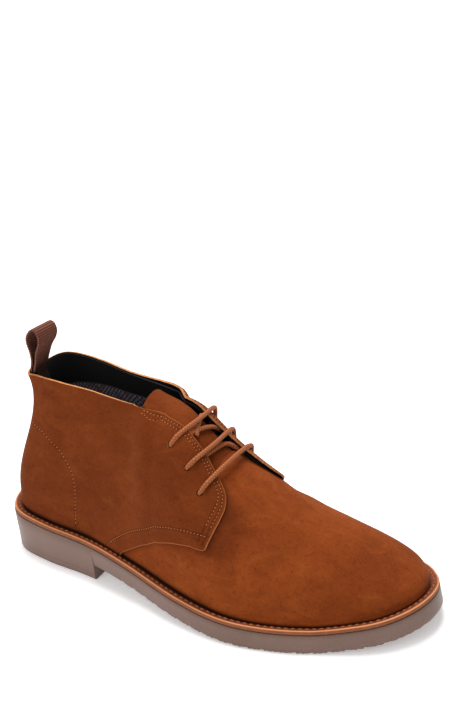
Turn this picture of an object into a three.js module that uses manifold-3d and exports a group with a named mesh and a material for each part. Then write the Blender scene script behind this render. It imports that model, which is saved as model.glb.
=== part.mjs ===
// A chukka boot for the right foot: rubber sole with a heel, welt, insole, hollow suede upper with
// two quarters lapped over the vamp, tongue, lace and pull loop.
// Millimetres. +X points to the toe, +Y to the inner side of the foot, +Z up. The origin is the
// middle of the heel's flat rest on the floor.
import * as THREE from "three";
import { mergeVertices } from "three/addons/utils/BufferGeometryUtils.js";
import Module from "manifold-3d";

const wasm = await Module();
wasm.setup();

// Driving sizes of the sole
const SOLE_LENGTH = 302;
const BALL_WIDTH = 107;
const HEEL_BACK = 40; // back of the sole to the origin
const BREAST_AT = 40; // origin to the heel's straight front
const SOLE_THICKNESS = 12.3; // rubber under the ball of the foot
const HEEL_RISE = 16; // how much higher the sole's top lies at the heel than at the ball
const ARCH_LIFT = 11; // clear height under the sole just before the heel
const TOE_SPRING = 9.6; // height of the toe's underside
const SOLE_FLARE = 1.6; // how far the forefoot's lower edge stands out
const HEEL_TAPER = 1.2; // how far the heel's lower edge stands in
const EDGE_CHAMFER = 1.2; // bevel of the sole's lower edge
const TREAD_DEPTH = 1.5;
const TREAD_GROOVE = 3; // width of a groove between two tread bars
const TREAD_PITCH = 10;
const TREAD_REST = 16; // width of the plain bar that the forefoot rests on
const FOREFOOT_REST_AT = 185; // middle of the forefoot's flat rest
const HEEL_GROOVE_AT = 14; // first groove of the heel, before and behind the origin

// Driving sizes of the welt, insole and upper
const GAP = 0.3; // clearance between pieces that touch
const WELT_THICKNESS = 2.6;
const WELT_REACH = 8; // how far the welt stands out round the upper
const WELT_INSET = 0.4; // how far the welt's rim lies inside the rubber's
const INSOLE_THICKNESS = 3;
const WALL = 2.4; // suede and lining together
const LAP = 1.5; // thickness of the quarter where it lies on the vamp
const COLLAR_HEIGHT = 125; // floor to the collar's top at the back
const COLLAR_WIDTH = 45; // widest opening of the collar
const THROAT_WIDTH = 26; // between the two facings
const THROAT_END_AT = 134; // front end of the throat

// Driving sizes of the tongue, lace and pull loop
const TONGUE_THICKNESS = 1.8;
const TONGUE_TOP_AT = 71;
const TONGUE_FRONT_AT = 148; // where the tongue ends under the vamp
const TONGUE_LIFT = 4; // how much higher the tongue's free end stands
const TONGUE_TOP_HALF = 12.5; // half width of the tongue's free end
const TONGUE_TILT = 4; // how much higher the inner corner of its free end stands
const TONGUE_SHIFT = 2.5; // how far the middle of its free end lies to the inner side
const TONGUE_HALF = 24; // half width of the tongue under the facings
const LACE_DIAMETER = 3;
const LACE_BOW = 5; // how far the middle of a bar lies in front of its ends
const LINK_DROP = 0.7; // how far a crossing lies under its bar, as a share of the lace's diameter
const EYELET_DIAMETER = 4.4;
const LOOP_WIDTH = 20;
const LOOP_THICKNESS = 1.6;
const LOOP_HEIGHT = 31.5; // how far the loop stands above the collar
const LOOP_DEPTH = 11; // widest opening between the loop's two runs
const LOOP_TAIL = 15; // how far the loop reaches down inside the collar
const LOOP_TWIST = 16; // degrees that the loop's top is turned to the inner side

// The sole's half widths as shares of BALL_WIDTH, at shares of SOLE_LENGTH from the back.
const SOLE_PLAN = [
  { at: 0, outer: 0, inner: 0 },
  { at: 0.035, outer: 0.24, inner: 0.24 },
  { at: 0.127, outer: 0.33, inner: 0.33 },
  { at: 0.243, outer: 0.372, inner: 0.3 },
  { at: 0.377, outer: 0.46, inner: 0.265 },
  { at: 0.51, outer: 0.57, inner: 0.3 },
  { at: 0.627, outer: 0.617, inner: 0.378 },
  { at: 0.743, outer: 0.57, inner: 0.425 },
  { at: 0.843, outer: 0.465, inner: 0.42 },
  { at: 0.927, outer: 0.337, inner: 0.345 },
  { at: 0.977, outer: 0.185, inner: 0.21 },
  { at: 1, outer: -0.02, inner: 0.02 },
];

// The sole's side view: arch as shares of ARCH_LIFT, rise of HEEL_RISE, spring of TOE_SPRING.
const SOLE_PROFILE = [
  { at: 0, arch: 1.02, rise: 1, spring: 0 },
  { at: 0.26, arch: 1, rise: 0.8, spring: 0 },
  { at: 0.45, arch: 0.48, rise: 0.38, spring: 0 },
  { at: 0.58, arch: 0.14, rise: 0.11, spring: 0 },
  { at: 0.68, arch: 0, rise: 0, spring: 0 },
  { at: 0.81, arch: 0, rise: 0, spring: 0 },
  { at: 0.9, arch: 0, rise: 0, spring: 0.32 },
  { at: 1, arch: 0, rise: 0, spring: 1 },
];

// The upper is drawn by meridians that climb from the welt to the collar, or in front of the collar
// to the ridge over the foot. Here are their tops, at shares of SOLE_LENGTH for a meridian's foot.
// topAt is a share of SOLE_LENGTH too. middle is a share of BALL_WIDTH, how far the top's middle
// line lies to the inner side. half is a share of COLLAR_WIDTH, up a share of COLLAR_HEIGHT.
const UPPER_TOP = [
  { at: 0, topAt: 0.066, middle: 0.012, half: 0, up: 1 },
  { at: 0.04, topAt: 0.082, middle: 0.028, half: 0.28, up: 1.003 },
  { at: 0.12, topAt: 0.122, middle: 0.064, half: 0.43, up: 1.016 },
  { at: 0.21, topAt: 0.187, middle: 0.077, half: 0.485, up: 1.012 },
  { at: 0.3, topAt: 0.257, middle: 0.072, half: 0.48, up: 0.992 },
  { at: 0.37, topAt: 0.345, middle: 0.06, half: 0.44, up: 0.98 },
  { at: 0.42, topAt: 0.395, middle: 0.039, half: 0.33, up: 0.972 },
  { at: 0.45, topAt: 0.432, middle: 0.01, half: 0, up: 0.964 },
  { at: 0.49, topAt: 0.475, middle: 0, half: 0, up: 0.924 },
  { at: 0.55, topAt: 0.54, middle: -0.02, half: 0, up: 0.784 },
  { at: 0.62, topAt: 0.612, middle: -0.035, half: 0, up: 0.658 },
  { at: 0.7, topAt: 0.69, middle: -0.035, half: 0, up: 0.55 },
  { at: 0.78, topAt: 0.77, middle: -0.028, half: 0, up: 0.47 },
  { at: 0.86, topAt: 0.835, middle: -0.015, half: 0, up: 0.416 },
  { at: 0.93, topAt: 0.88, middle: 0, half: 0, up: 0.372 },
  { at: 0.98, topAt: 0.905, middle: 0.01, half: 0, up: 0.344 },
  { at: 1, topAt: 0.913, middle: 0.012, half: 0, up: 0.336 },
];

// How full the meridians are, as shares of COLLAR_HEIGHT: footUp and footOut shape the wall at the
// welt, topDown and topSide shape it at the top.
const UPPER_FULLNESS = [
  { at: 0, footUp: 0.291, footOut: 0.083, topDown: 0.25, topSide: -0.104 },
  { at: 0.04, footUp: 0.291, footOut: 0.078, topDown: 0.25, topSide: -0.073 },
  { at: 0.12, footUp: 0.291, footOut: 0.057, topDown: 0.25, topSide: -0.021 },
  { at: 0.21, footUp: 0.291, footOut: 0.042, topDown: 0.239, topSide: 0.01 },
  { at: 0.3, footUp: 0.291, footOut: 0.031, topDown: 0.229, topSide: 0.031 },
  { at: 0.37, footUp: 0.291, footOut: 0.026, topDown: 0.2, topSide: 0.08 },
  { at: 0.42, footUp: 0.3, footOut: 0.026, topDown: 0.09, topSide: 0.17 },
  { at: 0.45, footUp: 0.31, footOut: 0.026, topDown: 0, topSide: 0.25 },
  { at: 0.49, footUp: 0.31, footOut: 0.026, topDown: 0, topSide: 0.265 },
  { at: 0.55, footUp: 0.28, footOut: 0.031, topDown: 0, topSide: 0.26 },
  { at: 0.62, footUp: 0.22, footOut: 0.042, topDown: 0, topSide: 0.25 },
  { at: 0.7, footUp: 0.166, footOut: 0.047, topDown: 0, topSide: 0.25 },
  { at: 0.78, footUp: 0.146, footOut: 0.047, topDown: 0, topSide: 0.25 },
  { at: 0.86, footUp: 0.125, footOut: 0.042, topDown: 0, topSide: 0.229 },
  { at: 0.93, footUp: 0.114, footOut: 0.036, topDown: 0, topSide: 0.198 },
  { at: 0.98, footUp: 0.104, footOut: 0.031, topDown: 0, topSide: 0.166 },
  { at: 1, footUp: 0.104, footOut: 0.031, topDown: 0, topSide: 0.156 },
];
const RIDGE_FROM = 7; // row of UPPER_TOP where the collar ends and the ridge over the foot starts

// The quarter's front edge from the throat down to the welt, and where its lap has run out behind
// it. at, innerAt on the inner side, and backAt are shares of SOLE_LENGTH for the meridian. climb
// and backClimb are shares of the meridian.
// rise is the share of LAP by which the edge stands over the vamp, less than 0 once it is sunk.
const QUARTER_EDGE = [
  { at: 0.53, innerAt: 0.53, climb: 0.865, backAt: 0.505, backClimb: 0.82, rise: 1 },
  { at: 0.56, innerAt: 0.575, climb: 0.82, backAt: 0.515, backClimb: 0.74, rise: 1 },
  { at: 0.588, innerAt: 0.635, climb: 0.76, backAt: 0.52, backClimb: 0.66, rise: 1 },
  { at: 0.601, innerAt: 0.648, climb: 0.68, backAt: 0.52, backClimb: 0.6, rise: 1 },
  { at: 0.598, innerAt: 0.64, climb: 0.58, backAt: 0.515, backClimb: 0.54, rise: 1 },
  { at: 0.589, innerAt: 0.63, climb: 0.48, backAt: 0.505, backClimb: 0.48, rise: 1 },
  { at: 0.577, innerAt: 0.612, climb: 0.365, backAt: 0.495, backClimb: 0.44, rise: 1 },
  { at: 0.543, innerAt: 0.575, climb: 0.32, backAt: 0.48, backClimb: 0.42, rise: 1 },
  { at: 0.491, innerAt: 0.515, climb: 0.261, backAt: 0.455, backClimb: 0.39, rise: 1 },
  { at: 0.43, innerAt: 0.445, climb: 0.2, backAt: 0.42, backClimb: 0.34, rise: 1 },
  { at: 0.396, innerAt: 0.4, climb: 0.155, backAt: 0.395, backClimb: 0.29, rise: 1 },
  { at: 0.368, innerAt: 0.37, climb: 0.105, backAt: 0.37, backClimb: 0.23, rise: 0.7 },
  { at: 0.348, innerAt: 0.35, climb: 0.07, backAt: 0.35, backClimb: 0.17, rise: -0.4 },
];

// The eyelets from the top down, on the outer facing and on the inner one: shares of SOLE_LENGTH and
// of the meridian there. lift is the share of LAP by which the bar of lace clears the quarter's lap.
const EYELETS = [
  { at: 0.484, climb: 0.714, innerAt: 0.498, innerClimb: 0.71, lift: 0.2 },
  { at: 0.522, climb: 0.679, innerAt: 0.54, innerClimb: 0.68, lift: 0.8 },
  { at: 0.553, climb: 0.625, innerAt: 0.575, innerClimb: 0.65, lift: 1.4 },
];

// Where the lace crosses between two bars: shares of the way from bar to bar and of the throat
const LACE_LINKS = [
  { fromBar: 2, fromSide: -0.3, toBar: 1, toSide: 0.34 },
  { fromBar: 1, fromSide: -0.32, toBar: 0, toSide: 0.3 },
  { fromBar: 1, fromSide: 0.12, toBar: 0, toSide: -0.26 },
];

// The pull loop from the side: out is a share of LOOP_DEPTH in front of its back run, up a share
// of LOOP_HEIGHT above the collar.
const LOOP_FORM = [
  { out: 0.1, up: 0.08 },
  { out: 0.14, up: 0.35 },
  { out: 0.22, up: 0.6 },
  { out: 0.36, up: 0.85 },
  { out: 0.66, up: 1 },
  { out: 1, up: 0.87 },
  { out: 1.08, up: 0.62 },
  { out: 0.84, up: 0.35 },
  { out: 0.4, up: 0.08 },
];

const STATIONS = 44; // meridians from heel to toe along one side
const LEVELS = 12; // steps of a meridian
const LAP_STEPS = 3; // from the quarter's edge to where its lap has run out
const EYELET_SIDES = 12;
const THROAT_STEPS = 10; // round a quarter of the throat's front end
const CORD_STEPS = 14; // along a piece of lace
const CORD_SIDES = 8;
const LOOP_STEPS = 40; // along the pull loop's strap
const LOOP_COLUMNS = 5; // across it
const MERGE_DISTANCE = 1e-4; // corners nearer than this are one

// Interpolation through a table of rows. The tables are read over the angle that belongs to a
// share of the length, so that both ends of every outline come out round.
const angleOf = (share) => Math.acos(1 - 2 * share);

function readTable(rows, column, share, evenEnds) {
  const at = rows.map((row) => angleOf(row.at));
  const value = rows.map((row) => row[column]);
  const angle = angleOf(share);
  const slope = (i) => {
    if (i === 0) return evenEnds ? 0 : (value[1] - value[0]) / (at[1] - at[0]);
    if (i === at.length - 1) return evenEnds ? 0 : (value[i] - value[i - 1]) / (at[i] - at[i - 1]);
    return (value[i + 1] - value[i - 1]) / (at[i + 1] - at[i - 1]);
  };
  let i = 0;
  while (i < at.length - 2 && angle > at[i + 1]) i++;
  const span = at[i + 1] - at[i];
  const t = THREE.MathUtils.clamp((angle - at[i]) / span, 0, 1);
  const t2 = t * t;
  const t3 = t2 * t;
  return (
    value[i] * (2 * t3 - 3 * t2 + 1) +
    slope(i) * span * (t3 - 2 * t2 + t) +
    value[i + 1] * (3 * t2 - 2 * t3) +
    slope(i + 1) * span * (t3 - t2)
  );
}

const alongOf = (share) => SOLE_LENGTH * share - HEEL_BACK;
const shareOf = (x) => THREE.MathUtils.clamp((x + HEEL_BACK) / SOLE_LENGTH, 0, 1);

// Heights of the sole at a place along it
const profileAt = (x, column) => readTable(SOLE_PROFILE, column, shareOf(x), true);
const springAt = (x) => TOE_SPRING * Math.max(0, profileAt(x, "spring"));
const archAt = (x) => Math.max(0, ARCH_LIFT * profileAt(x, "arch")) + springAt(x);
const rubberTopAt = (x) => SOLE_THICKNESS + HEEL_RISE * profileAt(x, "rise") + springAt(x);

// The sole's outline as a loop: heel, outer side, toe, inner side. Point j and point
// 2 * STATIONS - j lie across from each other.
const AROUND = 2 * STATIONS;
const across = (j) => (AROUND - j) % AROUND;
const stationShare = (j) => (1 - Math.cos((Math.PI * Math.min(j, AROUND - j)) / STATIONS)) / 2;

function solePoint(j) {
  const share = stationShare(j);
  const outerSide = j <= STATIONS;
  const out = BALL_WIDTH * readTable(SOLE_PLAN, outerSide ? "outer" : "inner", share, false);
  return new THREE.Vector2(alongOf(share), outerSide ? -out : out);
}

const outline = Array.from({ length: AROUND }, (_, j) => solePoint(j));

// Unit vector that points out of the outline at each of its points
const outward = outline.map((_, j) => {
  const step = outline[(j + 1) % AROUND].clone().sub(outline[(j + AROUND - 1) % AROUND]);
  return new THREE.Vector2(step.y, -step.x).normalize();
});

const loopAt = (reach, heightAt) =>
  outline.map((point, j) => {
    const placed = point.clone().addScaledVector(outward[j], reach);
    return new THREE.Vector3(placed.x, placed.y, heightAt(placed.x, point.x));
  });

// Solids and meshes
function geometryOf(points, faces) {
  const geometry = new THREE.BufferGeometry();
  const numbers = points.flatMap((p) => [p.x, p.y, p.z]);
  geometry.setAttribute("position", new THREE.Float32BufferAttribute(numbers, 3));
  geometry.setIndex(faces.flat());
  return geometry;
}

function solidOf(geometry) {
  const bare = geometry.clone();
  bare.deleteAttribute("normal");
  bare.deleteAttribute("uv");
  const merged = mergeVertices(bare, MERGE_DISTANCE);
  const index = Array.from(merged.index.array);
  const kept = [];
  for (let i = 0; i < index.length; i += 3) {
    const [a, b, c] = index.slice(i, i + 3);
    if (a !== b && b !== c && a !== c) kept.push(a, b, c);
  }
  const vertProperties = Float32Array.from(merged.attributes.position.array);
  const triVerts = Uint32Array.from(kept);
  return new wasm.Manifold(new wasm.Mesh({ numProp: 3, vertProperties, triVerts }));
}

function meshOf(name, solid, material) {
  const { vertProperties, triVerts } = solid.getMesh();
  const geometry = new THREE.BufferGeometry();
  geometry.setAttribute("position", new THREE.Float32BufferAttribute(vertProperties, 3));
  geometry.setIndex(Array.from(triVerts));
  const mesh = new THREE.Mesh(geometry, material);
  mesh.name = name;
  return mesh;
}

// A closed plate or block between loops that are stacked from bottom to top. Its two ends are
// filled by rungs from each point of a loop to the one across.
function stackOfLoops(loops) {
  const points = loops.flat();
  const faces = [];
  const last = (loops.length - 1) * AROUND;
  for (let k = 0; k + 1 < loops.length; k++)
    for (let j = 0; j < AROUND; j++) {
      const a = k * AROUND + j;
      const b = k * AROUND + ((j + 1) % AROUND);
      faces.push([a, b, b + AROUND], [a, b + AROUND, a + AROUND]);
    }
  for (let j = 0; j < STATIONS; j++) {
    const [a, b, c, d] = [j, j + 1, across(j + 1), across(j)];
    faces.push([a, c, b], [a, d, c]);
    faces.push([last + a, last + b, last + c], [last + a, last + c, last + d]);
  }
  return solidOf(geometryOf(points, faces));
}

// A closed ring through loops that follow each other round its section, outside going up first.
function ringOfLoops(loops) {
  const faces = [];
  const total = loops.length * AROUND;
  for (let k = 0; k < loops.length; k++)
    for (let j = 0; j < AROUND; j++) {
      const a = k * AROUND + j;
      const b = k * AROUND + ((j + 1) % AROUND);
      faces.push([a, b, (b + AROUND) % total], [a, (b + AROUND) % total, (a + AROUND) % total]);
    }
  return solidOf(geometryOf(loops.flat(), faces));
}

// The upper's outer surface
const formAt = (share, column) =>
  readTable(column in UPPER_TOP[0] ? UPPER_TOP : UPPER_FULLNESS, column, share, column !== "half");
const topAlong = (share) => alongOf(formAt(share, "topAt"));
const topHeight = (share) => COLLAR_HEIGHT * formAt(share, "up");
const topMiddle = (share) => BALL_WIDTH * formAt(share, "middle");

const ridgeShare = UPPER_TOP[RIDGE_FROM].at;
const onRidge = (j) => stationShare(j) >= ridgeShare;

// How much the ridge over the foot climbs for each step along it
function ridgeClimb(share) {
  const step = 0.004;
  const [from, to] = [Math.max(share - step, ridgeShare), Math.min(share + step, 1)];
  const run = topAlong(to) - topAlong(from);
  return (topHeight(to) - topHeight(from)) / run;
}

function meridian(j) {
  const share = stationShare(j);
  const side = j <= STATIONS ? -1 : 1;
  const out = outward[j];
  const ridge = onRidge(j);
  const plan = outline[j].clone().addScaledVector(out, -WELT_REACH);
  const foot = new THREE.Vector3(plan.x, plan.y, rubberTopAt(outline[j].x) + GAP);
  const half = ridge ? 0 : Math.max(0, COLLAR_WIDTH * formAt(share, "half"));
  const top = new THREE.Vector3(topAlong(share), topMiddle(share) + side * half, topHeight(share));
  const h = COLLAR_HEIGHT;
  const handle = (from, outBy, upBy) =>
    from.clone().add(new THREE.Vector3(out.x * outBy, out.y * outBy, upBy));
  const footHandle = handle(foot, h * formAt(share, "footOut"), h * formAt(share, "footUp"));
  const down = ridge ? 0 : h * formAt(share, "topDown");
  const topHandle = handle(top, h * formAt(share, "topSide"), -down);
  if (ridge) topHandle.z += ridgeClimb(share) * (topHandle.x - top.x);
  return new THREE.CubicBezierCurve3(foot, footHandle, topHandle, top);
}

const meridians = Array.from({ length: AROUND }, (_, j) => meridian(j));

// A grid over the upper: its points and unit normals, one row for each level
function upperGrid() {
  const points = [];
  const normals = [];
  for (let k = 0; k <= LEVELS; k++) points.push(meridians.map((curve) => curve.getPoint(k / LEVELS)));
  for (let k = 0; k <= LEVELS; k++)
    normals.push(
      meridians.map((_, j) => {
        const ahead = points[k][(j + 1) % AROUND].clone().sub(points[k][(j + AROUND - 1) % AROUND]);
        const up = points[Math.min(k + 1, LEVELS)][j].clone().sub(points[Math.max(k - 1, 0)][j]);
        return ahead.cross(up).normalize();
      }),
    );
  const top = normals[LEVELS];
  for (let j = 0; j < STATIONS; j++)
    if (onRidge(j)) {
      const shared = top[j].clone().add(top[across(j)]).normalize();
      top[j] = shared;
      top[across(j)] = shared;
    }
  return { points, normals };
}

const grid = upperGrid();

// A hollow shell between two depths under the upper's outer surface, open below and at the collar
function upperShell(outerDepth, innerDepth) {
  const sink = (p, normal, depth) => p.clone().addScaledVector(normal, -depth);
  const layer = (depth) =>
    grid.points.map((row, k) => row.map((p, j) => sink(p, grid.normals[k][j], depth)));
  const points = [...layer(outerDepth).flat(), ...layer(innerDepth).flat()];
  const inside = (LEVELS + 1) * AROUND;
  const place = (k, j) => {
    const wrapped = (j + AROUND) % AROUND;
    const shared = k === LEVELS && onRidge(wrapped);
    return k * AROUND + (shared ? Math.min(wrapped, across(wrapped)) : wrapped);
  };
  const faces = [];
  for (let j = 0; j < AROUND; j++) {
    for (let k = 0; k < LEVELS; k++) {
      const [a, b, c, d] = [place(k, j), place(k, j + 1), place(k + 1, j + 1), place(k + 1, j)];
      faces.push([a, b, c], [a, c, d]);
      faces.push([inside + a, inside + c, inside + b], [inside + a, inside + d, inside + c]);
    }
    const [a, b] = [place(0, j), place(0, j + 1)];
    faces.push([a, inside + b, b], [a, inside + a, inside + b]);
    if (onRidge(j) && onRidge((j + 1) % AROUND)) continue;
    const [c, d] = [place(LEVELS, j), place(LEVELS, j + 1)];
    faces.push([c, d, inside + d], [c, inside + d, inside + c]);
  }
  return solidOf(geometryOf(points, faces));
}

// A place on the upper for a share of the length, a share of the climb and a side, -1 for the outer
function onUpper(share, climb, side, height) {
  const turn = (STATIONS * angleOf(share)) / Math.PI;
  const j = side < 0 ? turn : AROUND - turn;
  const [j0, k0] = [Math.floor(j), Math.min(Math.floor(climb * LEVELS), LEVELS - 1)];
  const [s, t] = [j - j0, climb * LEVELS - k0];
  const mix = (rows) =>
    rows[k0][j0 % AROUND]
      .clone()
      .multiplyScalar((1 - s) * (1 - t))
      .addScaledVector(rows[k0][(j0 + 1) % AROUND], s * (1 - t))
      .addScaledVector(rows[k0 + 1][(j0 + 1) % AROUND], s * t)
      .addScaledVector(rows[k0 + 1][j0 % AROUND], (1 - s) * t);
  const normal = mix(grid.normals).normalize();
  return { normal, point: mix(grid.points).addScaledVector(normal, height) };
}

// The place of the upper that is seen along an axis at [u, v] of the two other axes, the nearest
// one for a viewer on the axis's positive end (sign 1) or negative end (sign -1)
function seenAlong(axis, sign, [uAxis, u], [vAxis, v]) {
  const rounding = 1e-6;
  let best = null;
  for (let k = Math.floor(LEVELS / 2); k < LEVELS; k++)
    for (let j = 0; j < AROUND; j++) {
      const next = (j + 1) % AROUND;
      const low = [[k, j], [k, next], [k + 1, next]];
      const high = [[k, j], [k + 1, next], [k + 1, j]];
      for (const corners of [low, high]) {
        const [a, b, c] = corners.map(([row, column]) => grid.points[row][column]);
        const [bu, bv] = [b[uAxis] - a[uAxis], b[vAxis] - a[vAxis]];
        const [cu, cv] = [c[uAxis] - a[uAxis], c[vAxis] - a[vAxis]];
        const [pu, pv] = [u - a[uAxis], v - a[vAxis]];
        const area = bu * cv - cu * bv;
        const [second, third] = [(pu * cv - cu * pv) / area, (bu * pv - pu * bv) / area];
        if (!(Math.min(second, third, 1 - second - third) >= -rounding)) continue;
        const shares = [1 - second - third, second, third];
        const blend = (rows) =>
          corners.reduce(
            (sum, [row, column], i) => sum.addScaledVector(rows[row][column], shares[i]),
            new THREE.Vector3(),
          );
        const point = blend(grid.points);
        if (best && sign * point[axis] <= sign * best.point[axis]) continue;
        best = { point, normal: blend(grid.normals).normalize() };
      }
    }
  return best;
}

// The highest place of the upper over a place in plan, moved along the normal there
function overPlan(x, y, height) {
  const { point, normal } = seenAlong("z", 1, ["x", x], ["y", y]);
  return point.clone().addScaledVector(normal, height);
}

// The upper's wall near the welt, at a rise above its foot, moved in by a depth
function wallLoop(rise, depth) {
  return outline.map((_, j) => {
    const foot = grid.points[0][j];
    let k = 0;
    while (k < LEVELS - 1 && grid.points[k + 1][j].z < foot.z + rise) k++;
    const [low, high] = [grid.points[k][j], grid.points[k + 1][j]];
    const place = low.clone().lerp(high, (foot.z + rise - low.z) / (high.z - low.z));
    return place.add(new THREE.Vector3(-outward[j].x * depth, -outward[j].y * depth, 0));
  });
}

// A closed plate between two grids of places with the same rows and columns, the first one outside
function plateBetween(outerRows, innerRows) {
  const [height, width] = [outerRows.length, outerRows[0].length];
  const inside = height * width;
  const faces = [];
  const put = (a, b, c, d) => faces.push([a, b, c], [a, c, d]);
  for (let r = 0; r + 1 < height; r++)
    for (let c = 0; c + 1 < width; c++) {
      const a = r * width + c;
      put(a, a + 1, a + 1 + width, a + width);
      put(inside + a, inside + a + width, inside + a + width + 1, inside + a + 1);
    }
  for (let r = 0; r + 1 < height; r++)
    for (const c of [0, width - 1]) {
      const [a, b] = c ? [r * width + c, (r + 1) * width + c] : [(r + 1) * width, r * width];
      put(a, inside + a, inside + b, b);
    }
  for (let c = 0; c + 1 < width; c++)
    for (const r of [0, height - 1]) {
      const [a, b] = r ? [r * width + c + 1, r * width + c] : [c, c + 1];
      put(a, inside + a, inside + b, b);
    }
  return solidOf(geometryOf([...outerRows.flat(), ...innerRows.flat()], faces));
}

function tubeAlong(points, diameter) {
  const path = new THREE.CatmullRomCurve3(points);
  const round = new THREE.Shape();
  round.absarc(0, 0, diameter / 2, 0, 2 * Math.PI, false);
  const curveSegments = CORD_SIDES / 2;
  const options = { steps: CORD_STEPS, curveSegments, bevelEnabled: false, extrudePath: path };
  return solidOf(new THREE.ExtrudeGeometry(round, options));
}

// Materials
const suede = new THREE.MeshStandardMaterial({ color: 0x8a4522, roughness: 0.95, metalness: 0 });
const weltLeather = new THREE.MeshStandardMaterial({ color: 0xb0562a, roughness: 0.6, metalness: 0 });
const rubber = new THREE.MeshStandardMaterial({ color: 0x87706a, roughness: 0.45, metalness: 0 });
const insoleBoard = new THREE.MeshStandardMaterial({ color: 0x3a2a22, roughness: 0.85, metalness: 0 });
const cord = new THREE.MeshStandardMaterial({ color: 0xb9713f, roughness: 0.8, metalness: 0 });
const webbing = new THREE.MeshStandardMaterial({ color: 0x7a4e3a, roughness: 0.9, metalness: 0 });

// The rubber sole with its heel and tread
function outsole() {
  const flareAt = (x) => {
    const front = THREE.MathUtils.smoothstep(x, BREAST_AT, FOREFOOT_REST_AT);
    return SOLE_FLARE * front - HEEL_TAPER * (1 - front);
  };
  const flared = (inset, heightAt) =>
    outline.map((point, j) => {
      const placed = point.clone().addScaledVector(outward[j], flareAt(point.x) - inset);
      return new THREE.Vector3(placed.x, placed.y, heightAt(point.x));
    });
  const body = stackOfLoops([
    flared(EDGE_CHAMFER, (x) => archAt(x)),
    flared(0, (x) => archAt(x) + EDGE_CHAMFER),
    loopAt(0, (_, x) => rubberTopAt(x)),
  ]);
  const heelBlock = stackOfLoops([
    flared(EDGE_CHAMFER, () => 0),
    flared(0, () => EDGE_CHAMFER),
    loopAt(0, (_, x) => rubberTopAt(x) - GAP),
  ]);
  const beforeBreast = new THREE.BoxGeometry(SOLE_LENGTH, 2 * BALL_WIDTH, 2 * COLLAR_HEIGHT);
  beforeBreast.translate(BREAST_AT - SOLE_LENGTH / 2, 0, 0);
  let solid = body.add(heelBlock.intersect(solidOf(beforeBreast)));
  for (const [x, floor] of treadGrooves()) {
    const groove = new THREE.BoxGeometry(TREAD_GROOVE, 2 * BALL_WIDTH, SOLE_THICKNESS);
    groove.translate(x, 0, floor + TREAD_DEPTH - SOLE_THICKNESS / 2);
    solid = solid.subtract(solidOf(groove));
  }
  return solid;
}

// Places of the grooves across the sole, each with the height of the sole's underside there
function treadGrooves() {
  const places = [];
  const restHalf = TREAD_REST / 2 + TREAD_GROOVE / 2;
  const first = BREAST_AT + 2 * TREAD_PITCH;
  const last = SOLE_LENGTH - HEEL_BACK - TREAD_PITCH;
  for (let x = FOREFOOT_REST_AT - restHalf; x > first; x -= TREAD_PITCH) places.push([x, archAt(x)]);
  for (let x = FOREFOOT_REST_AT + restHalf; x < last; x += TREAD_PITCH) places.push([x, archAt(x)]);
  for (let x = HEEL_GROOVE_AT; x < BREAST_AT - TREAD_PITCH / 2; x += TREAD_PITCH) {
    places.push([x, 0]);
    places.push([-x, 0]);
  }
  return places;
}

// The welt: a strip on the rubber that ends just outside the upper
function welt() {
  const lift = (x) => rubberTopAt(x) + GAP;
  return ringOfLoops([
    loopAt(-WELT_INSET, (_, x) => lift(x)),
    loopAt(-WELT_INSET, (_, x) => lift(x) + WELT_THICKNESS),
    wallLoop(WELT_THICKNESS, -GAP),
    wallLoop(0, -GAP),
  ]);
}

// The insole: a board inside the upper, on the rubber
function insole() {
  return stackOfLoops([wallLoop(0, WALL + GAP), wallLoop(INSOLE_THICKNESS, WALL + GAP)]);
}

// The front of a quarter: a layer that lies on the vamp and runs out into the wall behind
function quarterLap(side) {
  const sunk = -WALL / 2;
  const rowsAt = (heightAt) =>
    QUARTER_EDGE.map((row) =>
      Array.from({ length: LAP_STEPS + 1 }, (_, i) => {
        const back = i / LAP_STEPS;
        const share = THREE.MathUtils.lerp(side < 0 ? row.at : row.innerAt, row.backAt, back);
        const climb = THREE.MathUtils.lerp(row.climb, row.backClimb, back);
        return onUpper(share, climb, side, heightAt(row.rise, back)).point;
      }),
    );
  const outer = rowsAt((rise, back) => THREE.MathUtils.lerp(LAP * rise, sunk / 2, back));
  const inner = rowsAt(() => sunk);
  return side < 0 ? plateBetween(outer, inner) : plateBetween(outer.reverse(), inner.reverse());
}

// The throat seen from above, from inside the collar to its round front end
function throatCutter() {
  const half = THROAT_WIDTH / 2;
  const shape = new THREE.Shape();
  shape.moveTo(BREAST_AT, -half);
  shape.lineTo(THROAT_END_AT - half, -half);
  shape.absarc(THROAT_END_AT - half, 0, half, -Math.PI / 2, Math.PI / 2, false);
  shape.lineTo(BREAST_AT, half);
  const options = { depth: COLLAR_HEIGHT, curveSegments: THROAT_STEPS, bevelEnabled: false };
  const prism = new THREE.ExtrudeGeometry(shape, options);
  prism.translate(0, 0, COLLAR_HEIGHT / 2);
  return solidOf(prism);
}

const eyeletAt = (row, side) =>
  side < 0 ? onUpper(row.at, row.climb, side, 0) : onUpper(row.innerAt, row.innerClimb, side, 0);

function eyeletHole(row, side) {
  const { point, normal } = eyeletAt(row, side);
  const radius = EYELET_DIAMETER / 2;
  const pin = new THREE.CylinderGeometry(radius, radius, 4 * WALL, EYELET_SIDES);
  pin.applyQuaternion(new THREE.Quaternion().setFromUnitVectors(new THREE.Vector3(0, 1, 0), normal));
  pin.translate(point.x, point.y, point.z);
  return solidOf(pin);
}

function upper() {
  let solid = upperShell(0, WALL).add(quarterLap(-1)).add(quarterLap(1)).subtract(throatCutter());
  for (const row of EYELETS)
    for (const side of [-1, 1]) solid = solid.subtract(eyeletHole(row, side));
  return solid;
}

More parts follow.
